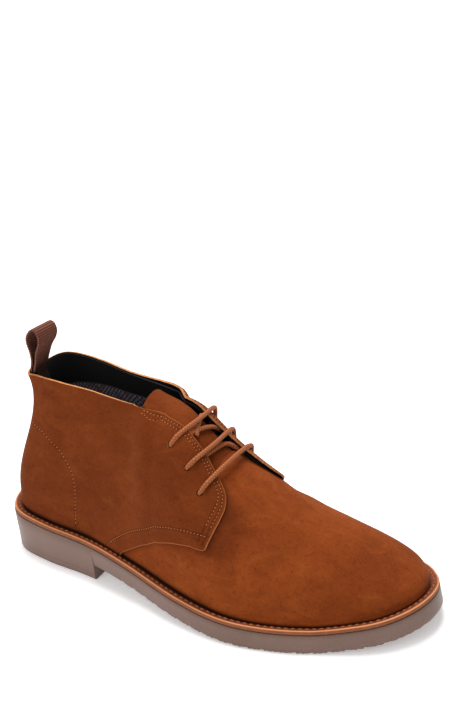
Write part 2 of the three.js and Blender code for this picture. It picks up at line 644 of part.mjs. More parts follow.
// The tongue: a sheet under the facings whose free end lies in the collar's opening
function tongue() {
  const ridgeStart = grid.points[LEVELS].find((_, j) => onRidge(j)).x;
  const [rows, columns] = [14, 10];
  const depth = WALL + GAP;
  const sheet = (extra) =>
    Array.from({ length: rows + 1 }, (_, r) => {
      const x = THREE.MathUtils.lerp(TONGUE_TOP_AT, TONGUE_FRONT_AT, r / rows);
      const spread = THREE.MathUtils.smoothstep(x, ridgeStart, ridgeStart + TONGUE_HALF);
      const half = THREE.MathUtils.lerp(TONGUE_TOP_HALF, TONGUE_HALF, spread);
      const held = Math.max(x, ridgeStart + GAP);
      const free = THREE.MathUtils.clamp((held - x) / (ridgeStart - TONGUE_TOP_AT), 0, 1);
      return Array.from({ length: columns + 1 }, (_, c) => {
        const y = half * ((2 * c) / columns - 1) + TONGUE_SHIFT * free;
        const lift = free * (TONGUE_LIFT + (TONGUE_TILT * c) / columns);
        return overPlan(held, y, -depth - extra).add(new THREE.Vector3(x - held, 0, lift));
      });
    });
  return plateBetween(sheet(0).reverse(), sheet(TONGUE_THICKNESS).reverse());
}

// The lace: a bar over the facings at each pair of eyelets, and the crossings under the bars
function lace() {
  const riseOf = ({ lift }) => GAP + LAP * lift + LACE_DIAMETER / 2;
  const last = 10;
  const places = EYELETS.map((row) => {
    const [from, to] = [-1, 1].map((side) => eyeletAt(row, side).point);
    return Array.from({ length: last + 1 }, (_, i) => {
      const share = i / last;
      const bow = new THREE.Vector3(4 * LACE_BOW * share * (1 - share), 0, 0);
      return from.clone().lerp(to, share).add(bow);
    });
  });
  const bars = places.map((along, i) => along.map((p) => overPlan(p.x, p.y, riseOf(EYELETS[i]))));
  const onBar = (bar, y) => {
    const along = places[bar];
    const next = along.findIndex((p) => p.y > y);
    const [start, end] = [along[next - 1], along[next]];
    return start.clone().lerp(end, (y - start.y) / (end.y - start.y));
  };
  const onTongue = LACE_DIAMETER / 2 - WALL;
  const underBar = (bar) => riseOf(EYELETS[bar]) - LINK_DROP * LACE_DIAMETER;
  const links = LACE_LINKS.map(({ fromBar, fromSide, toBar, toSide }) => {
    const from = onBar(fromBar, fromSide * THROAT_WIDTH);
    const to = onBar(toBar, toSide * THROAT_WIDTH);
    const heights = [underBar(fromBar), onTongue, onTongue, onTongue, underBar(toBar)];
    return heights.map((height, i) => {
      const place = from.clone().lerp(to, i / (heights.length - 1));
      return overPlan(place.x, place.y, height);
    });
  });
  const pieces = [...bars, ...links].map((points) => tubeAlong(points, LACE_DIAMETER));
  return pieces.reduce((all, piece) => all.add(piece));
}

// The pull loop: a strap that stands up from inside the collar's back and is folded over
function pullLoop() {
  const tail = [LOOP_TAIL, LOOP_TAIL / 2, 2 * GAP];
  const insideBack = (y, down, depth) => {
    const { point, normal } = seenAlong("x", -1, ["y", y], ["z", COLLAR_HEIGHT - down]);
    return point.clone().addScaledVector(normal, -depth);
  };
  const rearDepth = WALL + 2 * GAP + LOOP_THICKNESS / 2;
  const frontDepth = rearDepth + LOOP_THICKNESS + GAP;
  const middle = insideBack(0, tail[2], rearDepth);
  const runAt = (share) => {
    const y = (share * LOOP_WIDTH) / 2;
    const rear = tail.map((down) => insideBack(y, down, rearDepth));
    const front = tail.map((down) => insideBack(y, down, frontDepth)).reverse();
    const open = LOOP_FORM.map(({ out, up }) => {
      const free = THREE.MathUtils.smoothstep(up, 0, 1);
      const turn = THREE.MathUtils.degToRad(LOOP_TWIST) * free;
      const x = THREE.MathUtils.lerp(rear[2].x, middle.x, free) + out * LOOP_DEPTH;
      const z = COLLAR_HEIGHT + up * LOOP_HEIGHT;
      return new THREE.Vector3(x + y * Math.sin(turn), y * Math.cos(turn), z);
    });
    return new THREE.CatmullRomCurve3([...rear, ...open, ...front]).getPoints(LOOP_STEPS);
  };
  const shares = Array.from({ length: LOOP_COLUMNS + 1 }, (_, i) => (2 * i) / LOOP_COLUMNS - 1);
  const runs = shares.map(runAt);
  const faceAt = (offset) =>
    runs[0].map((_, i) =>
      runs.map((run) => {
        const step = run[Math.min(i + 1, run.length - 1)].clone().sub(run[Math.max(i - 1, 0)]);
        const across = new THREE.Vector3(-step.z, 0, step.x).normalize();
        return run[i].clone().addScaledVector(across, offset);
      }),
    );
  return plateBetween(faceAt(-LOOP_THICKNESS / 2), faceAt(LOOP_THICKNESS / 2));
}

const boot = new THREE.Group();
boot.add(meshOf("outsole", outsole(), rubber));
boot.add(meshOf("welt", welt(), weltLeather));
boot.add(meshOf("insole", insole(), insoleBoard));
boot.add(meshOf("upper", upper(), suede));
boot.add(meshOf("tongue", tongue(), suede));
boot.add(meshOf("lace", lace(), cord));
boot.add(meshOf("pull_loop", pullLoop(), webbing));

export default boot;
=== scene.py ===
"""A right suede chukka boot, dressed for the photograph's view.

Shapes are worked out in millimetres in the part's frame (+X to the toe, +Y to the inner side of the
foot, +Z up) and go to Blender in metres.
"""
import math
import bpy
import numpy as np
from mathutils import Matrix, Vector


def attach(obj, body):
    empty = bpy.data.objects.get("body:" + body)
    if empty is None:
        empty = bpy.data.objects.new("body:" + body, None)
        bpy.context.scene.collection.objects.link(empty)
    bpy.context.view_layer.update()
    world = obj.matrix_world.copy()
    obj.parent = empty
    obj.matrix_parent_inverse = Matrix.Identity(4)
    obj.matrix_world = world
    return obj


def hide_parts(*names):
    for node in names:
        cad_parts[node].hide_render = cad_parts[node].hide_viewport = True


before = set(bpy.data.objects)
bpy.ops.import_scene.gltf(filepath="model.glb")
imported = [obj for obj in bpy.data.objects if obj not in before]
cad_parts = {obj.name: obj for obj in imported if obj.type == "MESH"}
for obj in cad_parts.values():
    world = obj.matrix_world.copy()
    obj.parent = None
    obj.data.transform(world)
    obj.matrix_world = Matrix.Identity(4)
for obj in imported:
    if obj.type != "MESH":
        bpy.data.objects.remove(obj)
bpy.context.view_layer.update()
MM = 0.001

# Sizes of the sole and upper, the same as the solids'
SOLE_LENGTH = 302.0
BALL_WIDTH = 107.0
HEEL_BACK = 40.0
BREAST_AT = 40.0
SOLE_THICKNESS = 12.3
HEEL_RISE = 16.0
ARCH_LIFT = 11.0
TOE_SPRING = 9.6
SOLE_FLARE = 1.6
HEEL_TAPER = 1.2
TREAD_GROOVE = 3.0
TREAD_PITCH = 10.0
TREAD_REST = 16.0
FOREFOOT_REST_AT = 185.0
HEEL_GROOVE_AT = 14.0
GAP = 0.3
WELT_THICKNESS = 2.6
WELT_REACH = 8.0
WELT_INSET = 0.4
WALL = 2.4
LAP = 1.5
COLLAR_HEIGHT = 125.0
COLLAR_WIDTH = 45.0
TONGUE_THICKNESS = 1.8
TONGUE_TOP_AT = 71.0
TONGUE_FRONT_AT = 148.0
TONGUE_LIFT = 4.0
TONGUE_TOP_HALF = 12.5
TONGUE_TILT = 4.0
TONGUE_SHIFT = 2.5
TONGUE_HALF = 24.0
LACE_DIAMETER = 3.0
LACE_BOW = 5.0
EYELET_DIAMETER = 4.4
LOOP_THICKNESS = 1.6
LOOP_TAIL = 15.0

# Sizes that the solids don't have, or have otherwise
SIDE_TREAD = 0.5  # depth of a tread groove where it leaves the side
LOOP_WIDTH = 17.0
LOOP_HEIGHT = 32.5
LOOP_DEPTH = 8.8
LOOP_TWIST = 11.0
FLAP_LIFT = 2.0  # how far the inner facing's free edge stands off the tongue

# Leather, seams and weave of the dressed pieces
QUARTER_LEATHER = 1.4
VAMP_LEATHER = 1.25
VAMP_UNDERLAP = 9.0  # how far the vamp goes on under the quarters
VAMP_BACK = 127.0  # under the tongue the vamp ends here
THROAT_FADE, THROAT_SIDES = (128, 150), (18, 34)  # where the vamp rises from under the tongue
LINING_SETBACK = 1.2  # from the quarter's edge
LAP_FADE = (6.0, 30.0)  # how far behind its edge the quarter's step sinks away
FRONT_ROWS = (2.1, 4.6)  # the two rows of stitches, behind the quarter's front edge
STITCH_PITCH, STITCH_LENGTH = 2.3, 1.55
COUNTER_PITCH, COUNTER_STITCH = 2.6, 1.7
THREAD_RADIUS, THREAD_SINK = .32, -.1
WELT_PITCH, WELT_STITCH, WELT_THREAD_RADIUS = 4.3, 3.1, .55
CHECK_PITCH = 3.4  # of the lining's cloth
BRAID_PITCH = 1.9
RIB_PITCH, RIB_HEIGHT = 1.5, .18  # of the pull loop's webbing

# Half widths of the sole as shares of BALL_WIDTH, at shares of SOLE_LENGTH from the back
SOLE_PLAN = {
    "at": (0, .035, .127, .243, .377, .51, .627, .743, .843, .927, .977, 1),
    "outer": (0, .24, .33, .372, .46, .57, .617, .57, .465, .337, .185, -.02),
    "inner": (0, .24, .33, .3, .265, .3, .378, .425, .42, .345, .21, .02),
}
# Side view of the sole: arch as shares of ARCH_LIFT, rise of HEEL_RISE, spring of TOE_SPRING
SOLE_PROFILE = {
    "at": (0, .26, .45, .58, .68, .81, .9, 1),
    "arch": (1.02, 1, .48, .14, 0, 0, 0, 0),
    "rise": (1, .8, .38, .11, 0, 0, 0, 0),
    "spring": (0, 0, 0, 0, 0, 0, .32, 1),
}
# The upper's meridians, from the welt to the collar or to the ridge over the foot
UPPER_FORM = {
    "at": (0, .04, .12, .21, .3, .37, .42, .45, .49, .55, .62, .7, .78, .86, .93, .98, 1),
    "topAt": (.066, .082, .122, .187, .257, .345, .395, .432, .475, .54, .612, .69, .77, .835,
              .88, .905, .913),
    "middle": (.012, .028, .064, .077, .072, .06, .039, .01, 0, -.02, -.035, -.035, -.028, -.015,
               0, .01, .012),
    "half": (0, .28, .43, .485, .48, .44, .33, 0, 0, 0, 0, 0, 0, 0, 0, 0, 0),
    "up": (1, 1.003, 1.016, 1.012, .992, .98, .972, .964, .924, .784, .658, .55, .47, .416,
           .372, .344, .336),
    "footUp": (.291, .291, .291, .291, .291, .291, .3, .31, .31, .28, .22, .166, .146, .125,
               .114, .104, .104),
    "footOut": (.083, .078, .057, .042, .031, .026, .026, .026, .026, .031, .042, .047, .047,
                .042, .036, .031, .031),
    "topDown": (.25, .25, .25, .239, .229, .2, .09, 0, 0, 0, 0, 0, 0, 0, 0, 0, 0),
    "topSide": (-.104, -.073, -.021, .01, .031, .08, .17, .25, .265, .26, .25, .25, .25, .229,
                .198, .166, .156),
}
# How far the collar's rim stands above the solid's, in millimetres, on the outer and inner side
RIM_LIFT = {
    "at": (0, .02, .06, .09, .12, .15, .18, .21, .25, .3, .34, .37, .4, .425, .45, 1),
    "outer": (0, 0, .6, .6, .2, 0, 0, 0, .8, 1.7, 1, 0, 0, 0, 0, 0),
    "inner": (0, 0, 1.6, 1.6, .5, -.7, -1.9, -3, -3.8, -4.3, -4.8, -4.4, -3.2, -1.4, 0, 0),
}
ROLL_OUT = 1.3  # how far the suede bulges out over the welt
ROLL_RISE, ROLL_SPREAD = 6.5, 4.0  # how high up the bulge lies, and its half width
FOLD_BEND = .012  # how fast a fold curves away from a straight line
RIDGE_SHARE = 0.45  # where the collar ends and the ridge over the foot starts

# The quarter's edge as (share of length, share of climb): collar corner, facing, front, feather
FRONT_TOP = ((.545, .832), (.561, .808), (.576, .783), (.59, .753), (.599, .711), (.602, .65),
             (.597, .56), (.59, .48), (.583, .412))
LOWER_EDGE = ((.577, .368), (.561, .346), (.545, .33), (.521, .298), (.495, .268), (.466, .239),
              (.434, .209), (.401, .168), (.366, .102), (.339, .042), (.325, -.03))
OUTER_EDGE = ((.37, 1.06), (.381, .998), (.397, .985), (.409, .974), (.42, .962), (.429, .936),
              (.439, .896), (.447, .869), (.457, .859), (.47, .857), (.486, .854), (.505, .857),
              (.521, .849), *FRONT_TOP, *LOWER_EDGE)
INNER_EDGE = ((.395, 1.06), (.408, 1.0), (.42, .975), (.43, .94), (.438, .908), (.447, .892),
              (.458, .892), (.473, .904), (.484, .911), (.498, .92), (.508, .922), (.518, .918),
              (.531, .903), (.557, .885), (.57, .878), (.596, .845), (.627, .808), (.643, .786),
              (.65, .73), (.646, .67), (.635, .58), (.623, .48), (.612, .4), (.6, .36),
              (.58, .342), (.552, .325), *LOWER_EDGE[3:])
# Stitch rows along the quarter's lower edge and round the counter, in the same shares
LOWER_ROW = ((.297, .03), (.313, .083), (.341, .154), (.374, .222), (.409, .266), (.44, .291),
             (.497, .34), (.544, .4), (.566, .43), (.583, .452))
COUNTER_ROW = ((.0, .665), (.04, .66), (.075, .635), (.105, .618), (.125, .603), (.148, .573),
               (.165, .551), (.181, .523), (.196, .482), (.21, .436), (.217, .385), (.219, .31),
               (.217, .244), (.212, .16), (.21, .06))
# Eyelets: share and climb on the outer facing, on the inner one, and the bar's lift over the lap
EYELETS = ((.484, .714, .498, .71, .2), (.522, .679, .54, .68, .8), (.553, .625, .575, .65, 1.4))
# Soft folds of the suede: side, share, climb, turn in degrees, half length, half width, height
FOLDS = (
    (-1, .66, .62, 62, 26, 5, -.7), (-1, .685, .55, 70, 22, 5, .6), (-1, .715, .5, 74, 24, 6, -.5),
    (1, .66, .62, 62, 26, 5, -.7), (1, .69, .55, 70, 22, 5, .6), (-1, .18, .6, 80, 20, 6, -.6),
    (-1, .23, .62, 95, 22, 6, .5), (-1, .3, .55, 70, 24, 9, -.6), (-1, .36, .62, 115, 20, 7, .5),
    (-1, .12, .42, 20, 16, 5, -.5), (1, .2, .6, 85, 22, 7, -.6), (1, .3, .5, 70, 24, 8, .5),
    (-1, .45, .42, 40, 26, 8, -.5), (-1, .634, .53, 88, 24, 9, -2.6), (1, .65, .45, 88, 16, 9, -1),
)


# Tables are read over the angle that belongs to a share of the length
def angle_of(share):
    return np.arccos(np.clip(1 - 2 * np.asarray(share, float), -1, 1))


def read_table(table, column, share, even):
    at, value = angle_of(table["at"]), np.array(table[column], float)
    angle = angle_of(share)
    slope = np.empty_like(value)
    slope[1:-1] = (value[2:] - value[:-2]) / (at[2:] - at[:-2])
    slope[0] = 0 if even else (value[1] - value[0]) / (at[1] - at[0])
    slope[-1] = 0 if even else (value[-1] - value[-2]) / (at[-1] - at[-2])
    i = np.clip(np.searchsorted(at, angle, side="left") - 1, 0, len(at) - 2)
    span = at[i + 1] - at[i]
    t = np.clip((angle - at[i]) / span, 0, 1)
    return (value[i] * (2 * t**3 - 3 * t**2 + 1) + slope[i] * span * (t**3 - 2 * t**2 + t)
            + value[i + 1] * (3 * t**2 - 2 * t**3) + slope[i + 1] * span * (t**3 - t**2))


def smoothstep(x, low, high):
    t = np.clip((np.asarray(x, float) - low) / (high - low), 0, 1)
    return t * t * (3 - 2 * t)


def unit(vectors):
    return vectors / (np.linalg.norm(vectors, axis=-1, keepdims=True) + 1e-12)


def share_at(x):
    return np.clip((x + HEEL_BACK) / SOLE_LENGTH, 0, 1)


def along_of(share):
    return SOLE_LENGTH * share - HEEL_BACK


def profile(x, column):
    return read_table(SOLE_PROFILE, column, share_at(x), True)


def arch_at(x):
    return (np.maximum(0, ARCH_LIFT * profile(x, "arch"))
            + TOE_SPRING * np.maximum(0, profile(x, "spring")))


def rubber_top(x):
    return (SOLE_THICKNESS + HEEL_RISE * profile(x, "rise")
            + TOE_SPRING * np.maximum(0, profile(x, "spring")))


# The way round the sole, u: 0 heel, up to 1 along the outer side, then back to 2 along the inner
def share_of(u):
    turn = np.mod(u, 2)
    return (1 - np.cos(np.pi * np.minimum(turn, 2 - turn))) / 2


def side_of(u):
    return np.where(np.mod(u, 2) <= 1, -1.0, 1.0)


def u_of(share, side):
    turn = angle_of(share) / np.pi
    return turn if side < 0 else 2 - turn


def outline(u):
    share = share_of(u)
    outer = read_table(SOLE_PLAN, "outer", share, False)
    inner = read_table(SOLE_PLAN, "inner", share, False)
    y = BALL_WIDTH * np.where(side_of(u) < 0, -outer, inner)
    return np.stack([along_of(share), y], -1)


def outward(u):
    step = outline(u + 0.02) - outline(u - 0.02)
    return unit(np.stack([step[..., 1], -step[..., 0]], -1))


def form(share, column):
    return read_table(UPPER_FORM, column, share, column != "half")


def ridge_climb(share):
    step = .004
    low, high = np.maximum(share - step, RIDGE_SHARE), np.clip(share + step, RIDGE_SHARE + .001, 1)
    run = SOLE_LENGTH * (form(high, "topAt") - form(low, "topAt"))
    return COLLAR_HEIGHT * (form(high, "up") - form(low, "up")) / run


def upper_point(u, t):
    """Places on the upper's outer surface at ways round u and climbs t."""
    u, t = np.broadcast_arrays(np.asarray(u, float), np.asarray(t, float))
    share, h = share_of(u), COLLAR_HEIGHT
    ridge = share >= RIDGE_SHARE
    out = outward(u)
    plan = outline(u)
    foot = np.concatenate([plan - out * WELT_REACH, (rubber_top(plan[..., 0]) + GAP)[..., None]], -1)
    half = np.where(ridge, 0, np.maximum(0, COLLAR_WIDTH * form(share, "half")))
    rim = [read_table(RIM_LIFT, column, share, True) for column in ("outer", "inner")]
    rim = np.where(ridge, 0, np.where(side_of(u) < 0, *rim))
    top = np.stack([along_of(form(share, "topAt")),
                    BALL_WIDTH * form(share, "middle") + side_of(u) * half,
                    h * form(share, "up") + rim], -1)

    def handle(start, out_by, up_by):
        return start + np.concatenate([out * out_by[..., None], up_by[..., None]], -1)
    low = handle(foot, h * form(share, "footOut"), h * form(share, "footUp"))
    side = h * form(share, "topSide")
    fall = np.where(ridge, ridge_climb(share) * out[..., 0] * side, -h * form(share, "topDown"))
    high = handle(top, side, fall)
    t = t[..., None]
    return (foot * (1 - t)**3 + 3 * low * t * (1 - t)**2 + 3 * high * t * t * (1 - t) + top * t**3)


def upper_normal(u, t):
    step = .004
    ahead = upper_point(u + step, t) - upper_point(u - step, t)
    up = upper_point(u, np.clip(t + step, 0, 1)) - upper_point(u, np.clip(t - step, 0, 1))
    return unit(np.cross(ahead, up))


def on_upper(u, t, height):
    """Places at a height over the upper, and the normals there. Both sides share one on the ridge."""
    u, t, height = np.broadcast_arrays(*(np.asarray(v, float) for v in (u, t, height)))
    normal = upper_normal(u, t)
    near = (share_of(u) >= RIDGE_SHARE) * smoothstep(t, .86, 1)
    shared = normal
    if np.any(near > 0):
        shared = unit(normal + upper_normal(2 - np.mod(u, 2), t))
    blend = (near**6)[..., None]
    normal = unit(normal * (1 - blend) + shared * blend)
    return upper_point(u, t) + normal * height[..., None], normal


# Curves in the flat plane of the upper's shares, where a whole climb counts as this many mm
CLIMB_SPAN = 105.0
FLAT = np.array([SOLE_LENGTH, CLIMB_SPAN])


def smooth_line(points, per_step=8):
    """A Catmull-Rom line through the points."""
    p = np.array(points, float)
    p = np.vstack([2 * p[0] - p[1], p, 2 * p[-1] - p[-2]])
    t = np.arange(per_step)[:, None] / per_step
    lines = []
    for a, b, c, d in zip(p[:-3], p[1:-2], p[2:-1], p[3:]):
        lines.append(.5 * (2 * b + (c - a) * t + (2 * a - 5 * b + 4 * c - d) * t**2
                           + (3 * b - a - 3 * c + d) * t**3))
    return np.vstack(lines + [p[-2:-1]])


def run_of(path):
    """How far along a path each of its points lies."""
    return np.concatenate([[0], np.cumsum(np.linalg.norm(np.diff(path, axis=0), axis=1))])


def read_at(run, values, at):
    return np.stack([np.interp(at, run, values[:, axis]) for axis in range(3)], -1)


def distance_to(line, share, climb):
    """Distance in the flat plane to a line, positive on its right-hand side."""
    places = np.stack([share, climb], -1).reshape(-1, 2) * FLAT
    a, b = line[:-1] * FLAT, line[1:] * FLAT
    run = b - a
    result = np.empty(len(places))
    for start in range(0, len(places), 6000):
        p = places[start:start + 6000, None]
        t = np.clip(((p - a) * run).sum(-1) / (run * run).sum(-1), 0, 1)
        away = p - (a + run * t[..., None])
        d = np.linalg.norm(away, axis=-1)
        i = d.argmin(-1)
        row = np.arange(len(i))
        cross = run[i, 0] * away[row, i, 1] - run[i, 1] * away[row, i, 0]
        result[start:start + 6000] = d[row, i] * np.where(cross > 0, -1.0, 1.0)
    return result.reshape(np.shape(share))


OUTER_LINE = smooth_line(OUTER_EDGE, 5)
INNER_LINE = smooth_line(INNER_EDGE, 5)
LOWER_LINE = smooth_line(LOWER_ROW, 4)
COUNTER_LINE = smooth_line(COUNTER_ROW, 4)


def edge_distance(u, t):
    """How far in front of the quarter's edge a place of the upper lies; negative on the quarter."""
    u, t = np.broadcast_arrays(u, t)
    share, outer = share_of(u), side_of(u) < 0
    distance = np.empty(u.shape)
    distance[outer] = -distance_to(OUTER_LINE, share[outer], t[outer])
    distance[~outer] = -distance_to(INNER_LINE, share[~outer], t[~outer])
    return distance


def relief(u, t):
    """Height of the soft folds and of the roll over the welt."""
    share, side = share_of(u), side_of(u)
    height = np.zeros(np.shape(share))
    for fold_side, at, climb, turn, length, width, rise in FOLDS:
        a = math.radians(turn)
        x, z = (share - at) * SOLE_LENGTH, (t - climb) * CLIMB_SPAN
        along, over = x * math.cos(a) + z * math.sin(a), z * math.cos(a) - x * math.sin(a)
        bent = over + FOLD_BEND * along**2
        height += (side == fold_side) * rise * np.exp(-(along / length)**2 - (bent / width)**2)
    return height + ROLL_OUT * np.exp(-((t * CLIMB_SPAN - ROLL_RISE) / ROLL_SPREAD)**2)


# Building meshes
def linked(name, data):
    obj = bpy.data.objects.new(name, data)
    bpy.context.scene.collection.objects.link(obj)
    return obj


def new_object(name, points, faces, mats, slots=None, attributes=None, sharp=None, smooth=True):
    mesh = bpy.data.meshes.new(name)
    mesh.from_pydata((np.asarray(points) * MM).tolist(), [], [list(map(int, f)) for f in faces])
    for mat in mats:
        mesh.materials.append(mat)
    if slots is not None:
        mesh.polygons.foreach_set("material_index", np.asarray(slots, np.int32))
    mesh.polygons.foreach_set("use_smooth", np.full(len(mesh.polygons), smooth))
    for key, values in (attributes or {}).items():
        values = np.asarray(values, np.float32)
        if values.ndim == 2:
            layer = mesh.attributes.new(key, "FLOAT_VECTOR", "POINT")
            layer.data.foreach_set("vector", values.ravel())
        else:
            mesh.attributes.new(key, "FLOAT", "POINT").data.foreach_set("value", values)
    mesh.update()
    if sharp:
        mesh.set_sharp_from_angle(angle=math.radians(sharp))
    return linked(name, mesh)


def dress(obj, slot, *nodes):
    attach(obj, "root")
    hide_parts(*nodes)


def clipped_grid(us, ts, field):
    """Faces of a grid over the upper where the field is negative, cut on its zero line."""
    n, m = len(us), len(ts)
    uu, tt = np.meshgrid(us, ts, indexing="ij")
    f = field(uu.ravel(), tt.ravel()).reshape(n, m)
    index = np.arange(n * m).reshape(n, m)
    index[-1] = index[0]
    ridge = np.flatnonzero(share_of(us) >= RIDGE_SHARE)
    index[ridge, -1] = index[np.minimum(ridge, n - 1 - ridge), -1]
    corners = np.stack([index[:-1, :-1], index[1:, :-1], index[1:, 1:], index[:-1, 1:]], -1)
    values = np.stack([f[:-1, :-1], f[1:, :-1], f[1:, 1:], f[:-1, 1:]], -1)
    inside = (values < 0).all(-1)
    faces = corners[inside].tolist()
    params = list(zip(uu.ravel().tolist(), tt.ravel().tolist()))
    cuts = {}
    for i, k in np.argwhere((values < 0).any(-1) & ~inside):
        ids, v = corners[i, k].tolist(), values[i, k]
        places = ((us[i], ts[k]), (us[i + 1], ts[k]), (us[i + 1], ts[k + 1]), (us[i], ts[k + 1]))
        face = []
        for a in range(4):
            b = (a + 1) % 4
            if v[a] < 0:
                face.append(ids[a])
            if (v[a] < 0) != (v[b] < 0):
                key = (min(ids[a], ids[b]), max(ids[a], ids[b]))
                if key not in cuts:
                    s = v[a] / (v[a] - v[b])
                    cuts[key] = len(params)
                    params.append((places[a][0] + s * (places[b][0] - places[a][0]),
                                   places[a][1] + s * (places[b][1] - places[a][1])))
                face.append(cuts[key])
        faces.append(face)
    faces = [[a for a, b in zip(face, face[1:] + face[:1]) if a != b] for face in faces]
    faces = [face for face in faces if len(face) > 2]
    used = sorted({v for face in faces for v in face})
    number = {old: new for new, old in enumerate(used)}
    return np.array([params[v] for v in used]), [[number[v] for v in face] for face in faces]


def ring_faces(rings, count, first=0, closed=False):
    """Faces between rings of points that follow each other."""
    faces = []
    for ring in range(rings if closed else rings - 1):
        here, there = first + ring * count, first + (ring + 1) % rings * count
        for k in range(count):
            after = (k + 1) % count
            faces.append((here + k, here + after, there + after, there + k))
    return faces


def grid_faces(rows, columns):
    return [[a, a + columns, a + columns + 1, a + 1]
            for row in range(rows - 1) for a in range(row * columns, (row + 1) * columns - 1)]


def new_sheet(name, outer, inner, faces, mats, marks, sharp):
    """A closed sheet. The materials are for its outside, its inside and round the rim."""
    count = len(outer)
    edges = dict.fromkeys((a, b) for face in faces for a, b in zip(face, face[1:] + face[:1]))
    rim = [(b, a, a + count, b + count) for a, b in edges if (b, a) not in edges]
    slots = [0] * len(faces) + [1] * len(faces) + [2] * len(rim)
    slots = np.minimum(slots, len(mats) - 1)
    under = [[v + count for v in reversed(face)] for face in faces]
    marks = {key: np.concatenate([value, value]) for key, value in marks.items()}
    return new_object(name, np.vstack([outer, inner]), faces + under + rim, mats, slots, marks, sharp)


def sweep(path, normals, section):
    """A tube along a path: section is a loop of (side, up) offsets, up along the normals."""
    ahead = unit(np.gradient(path, axis=0))
    side = unit(np.cross(ahead, normals))
    up = np.cross(side, ahead)
    rings = path[:, None] + side[:, None] * section[None, :, :1] + up[:, None] * section[None, :, 1:]
    count = len(section)
    faces = [(a, d, c, b) for a, b, c, d in ring_faces(len(path), count)]
    faces.append(tuple(range(count)))
    last = (len(path) - 1) * count
    faces.append(tuple(reversed(range(last, last + count))))
    return rings.reshape(-1, 3), faces


def circle(radius, count):
    a = np.arange(count) / count * 2 * np.pi
    return radius * np.stack([np.cos(a), np.sin(a)], -1)


# Shader maths on sockets
class Sock:
    """A socket of a material, or a number, that takes part in sums."""

    def __init__(self, mat, out):
        self.mat, self.out = mat, out

    def maths(self, operation, *others):
        return self.mat.node("ShaderNodeMath", {"operation": operation}, self, *others)

    def __add__(self, other):
        return self.maths("ADD", other)

    def __sub__(self, other):
        return self.maths("SUBTRACT", other)

    def __mul__(self, other):
        return self.maths("MULTIPLY", other)

    def __truediv__(self, other):
        return self.maths("DIVIDE", other)

    def __radd__(self, other):
        return self.mat.number(other) + self

    def __rsub__(self, other):
        return self.mat.number(other) - self

    def __rmul__(self, other):
        return self.mat.number(other) * self

    def hump(self, middle, width):
        """1 at the middle, falling off over the width like a bell."""
        over = (self - middle) / width
        return (over * over * -1.0).maths("EXPONENT")

    def step(self, low, high, to_low=0.0, to_high=1.0):
        return self.mat.node("ShaderNodeMapRange", {"interpolation_type": "SMOOTHSTEP", "clamp": True},
                             self, low, high, to_low, to_high)


class Material:
    """A material with a principled shader and a short way to add nodes."""

    def __init__(self, name):
        self.data = bpy.data.materials.new(name)
        self.data.use_nodes = True
        self.tree = self.data.node_tree
        self.shader = self.tree.nodes["Principled BSDF"]
        self.shader.inputs["Specular IOR Level"].default_value = 0.3
        self.colour = None  # what the tints are laid over

    def node(self, kind, settings, *values, out=0, **named):
        """A node of a kind: its settings first, then socket values or links in order or by name."""
        made = self.tree.nodes.new(kind)
        for key, value in settings.items():
            setattr(made, key, value)
        for socket, value in list(zip(made.inputs, values)) + [(made.inputs[k], v)
                                                               for k, v in named.items()]:
            if isinstance(value, Sock):
                self.tree.links.new(value.out, socket)
            elif value is not None:
                socket.default_value = value
        return Sock(self, made.outputs[out])

    def number(self, value):
        made = self.tree.nodes.new("ShaderNodeValue")
        made.outputs[0].default_value = value
        return Sock(self, made.outputs[0])

    def place(self):
        return self.node("ShaderNodeTexCoord", {}, out=3)

    def attribute(self, name, out=2):
        return self.node("ShaderNodeAttribute", {"attribute_name": name}, out=out)

    def axis(self, vector, number):
        return self.node("ShaderNodeSeparateXYZ", {}, vector, out=number)

    def noise(self, vector, scale, detail=4.0, rough=0.55, distortion=0.0):
        return self.node("ShaderNodeTexNoise", {}, Vector=vector, Scale=scale, Detail=detail,
                         Roughness=rough, Distortion=distortion)

    def stretch(self, vector, x, y, z):
        return self.node("ShaderNodeVectorMath", {"operation": "MULTIPLY"}, vector, (x, y, z))

    def mix(self, factor, first, second, blend="MIX"):
        made = self.tree.nodes.new("ShaderNodeMix")
        made.data_type = "RGBA"
        made.blend_type = blend
        for index, value in ((0, factor), (6, first), (7, second)):
            if isinstance(value, Sock):
                self.tree.links.new(value.out, made.inputs[index])
            else:
                made.inputs[index].default_value = value
        return Sock(self, made.outputs[2])

    def tint(self, mask, *colour):
        """Lay an sRGB colour over the material's colour where the mask is 1."""
        self.colour = self.mix(mask, self.colour, rgb(*colour))

    def set(self, name, value):
        socket = self.shader.inputs[name]
        if isinstance(value, Sock):
            self.tree.links.new(value.out, socket)
        else:
            socket.default_value = value

    def bump(self, height, distance, strength=1.0):
        out = self.node("ShaderNodeBump", {}, Strength=strength, Distance=distance, Height=height)
        self.set("Normal", out)


def rgb(r, g, b):
    """A colour from sRGB numbers of 0 to 255, as the shader's linear RGBA."""
    linear = [((c / 255 + .055) / 1.055)**2.4 if c > 10 else c / 255 / 12.92 for c in (r, g, b)]
    return (*linear, 1.0)


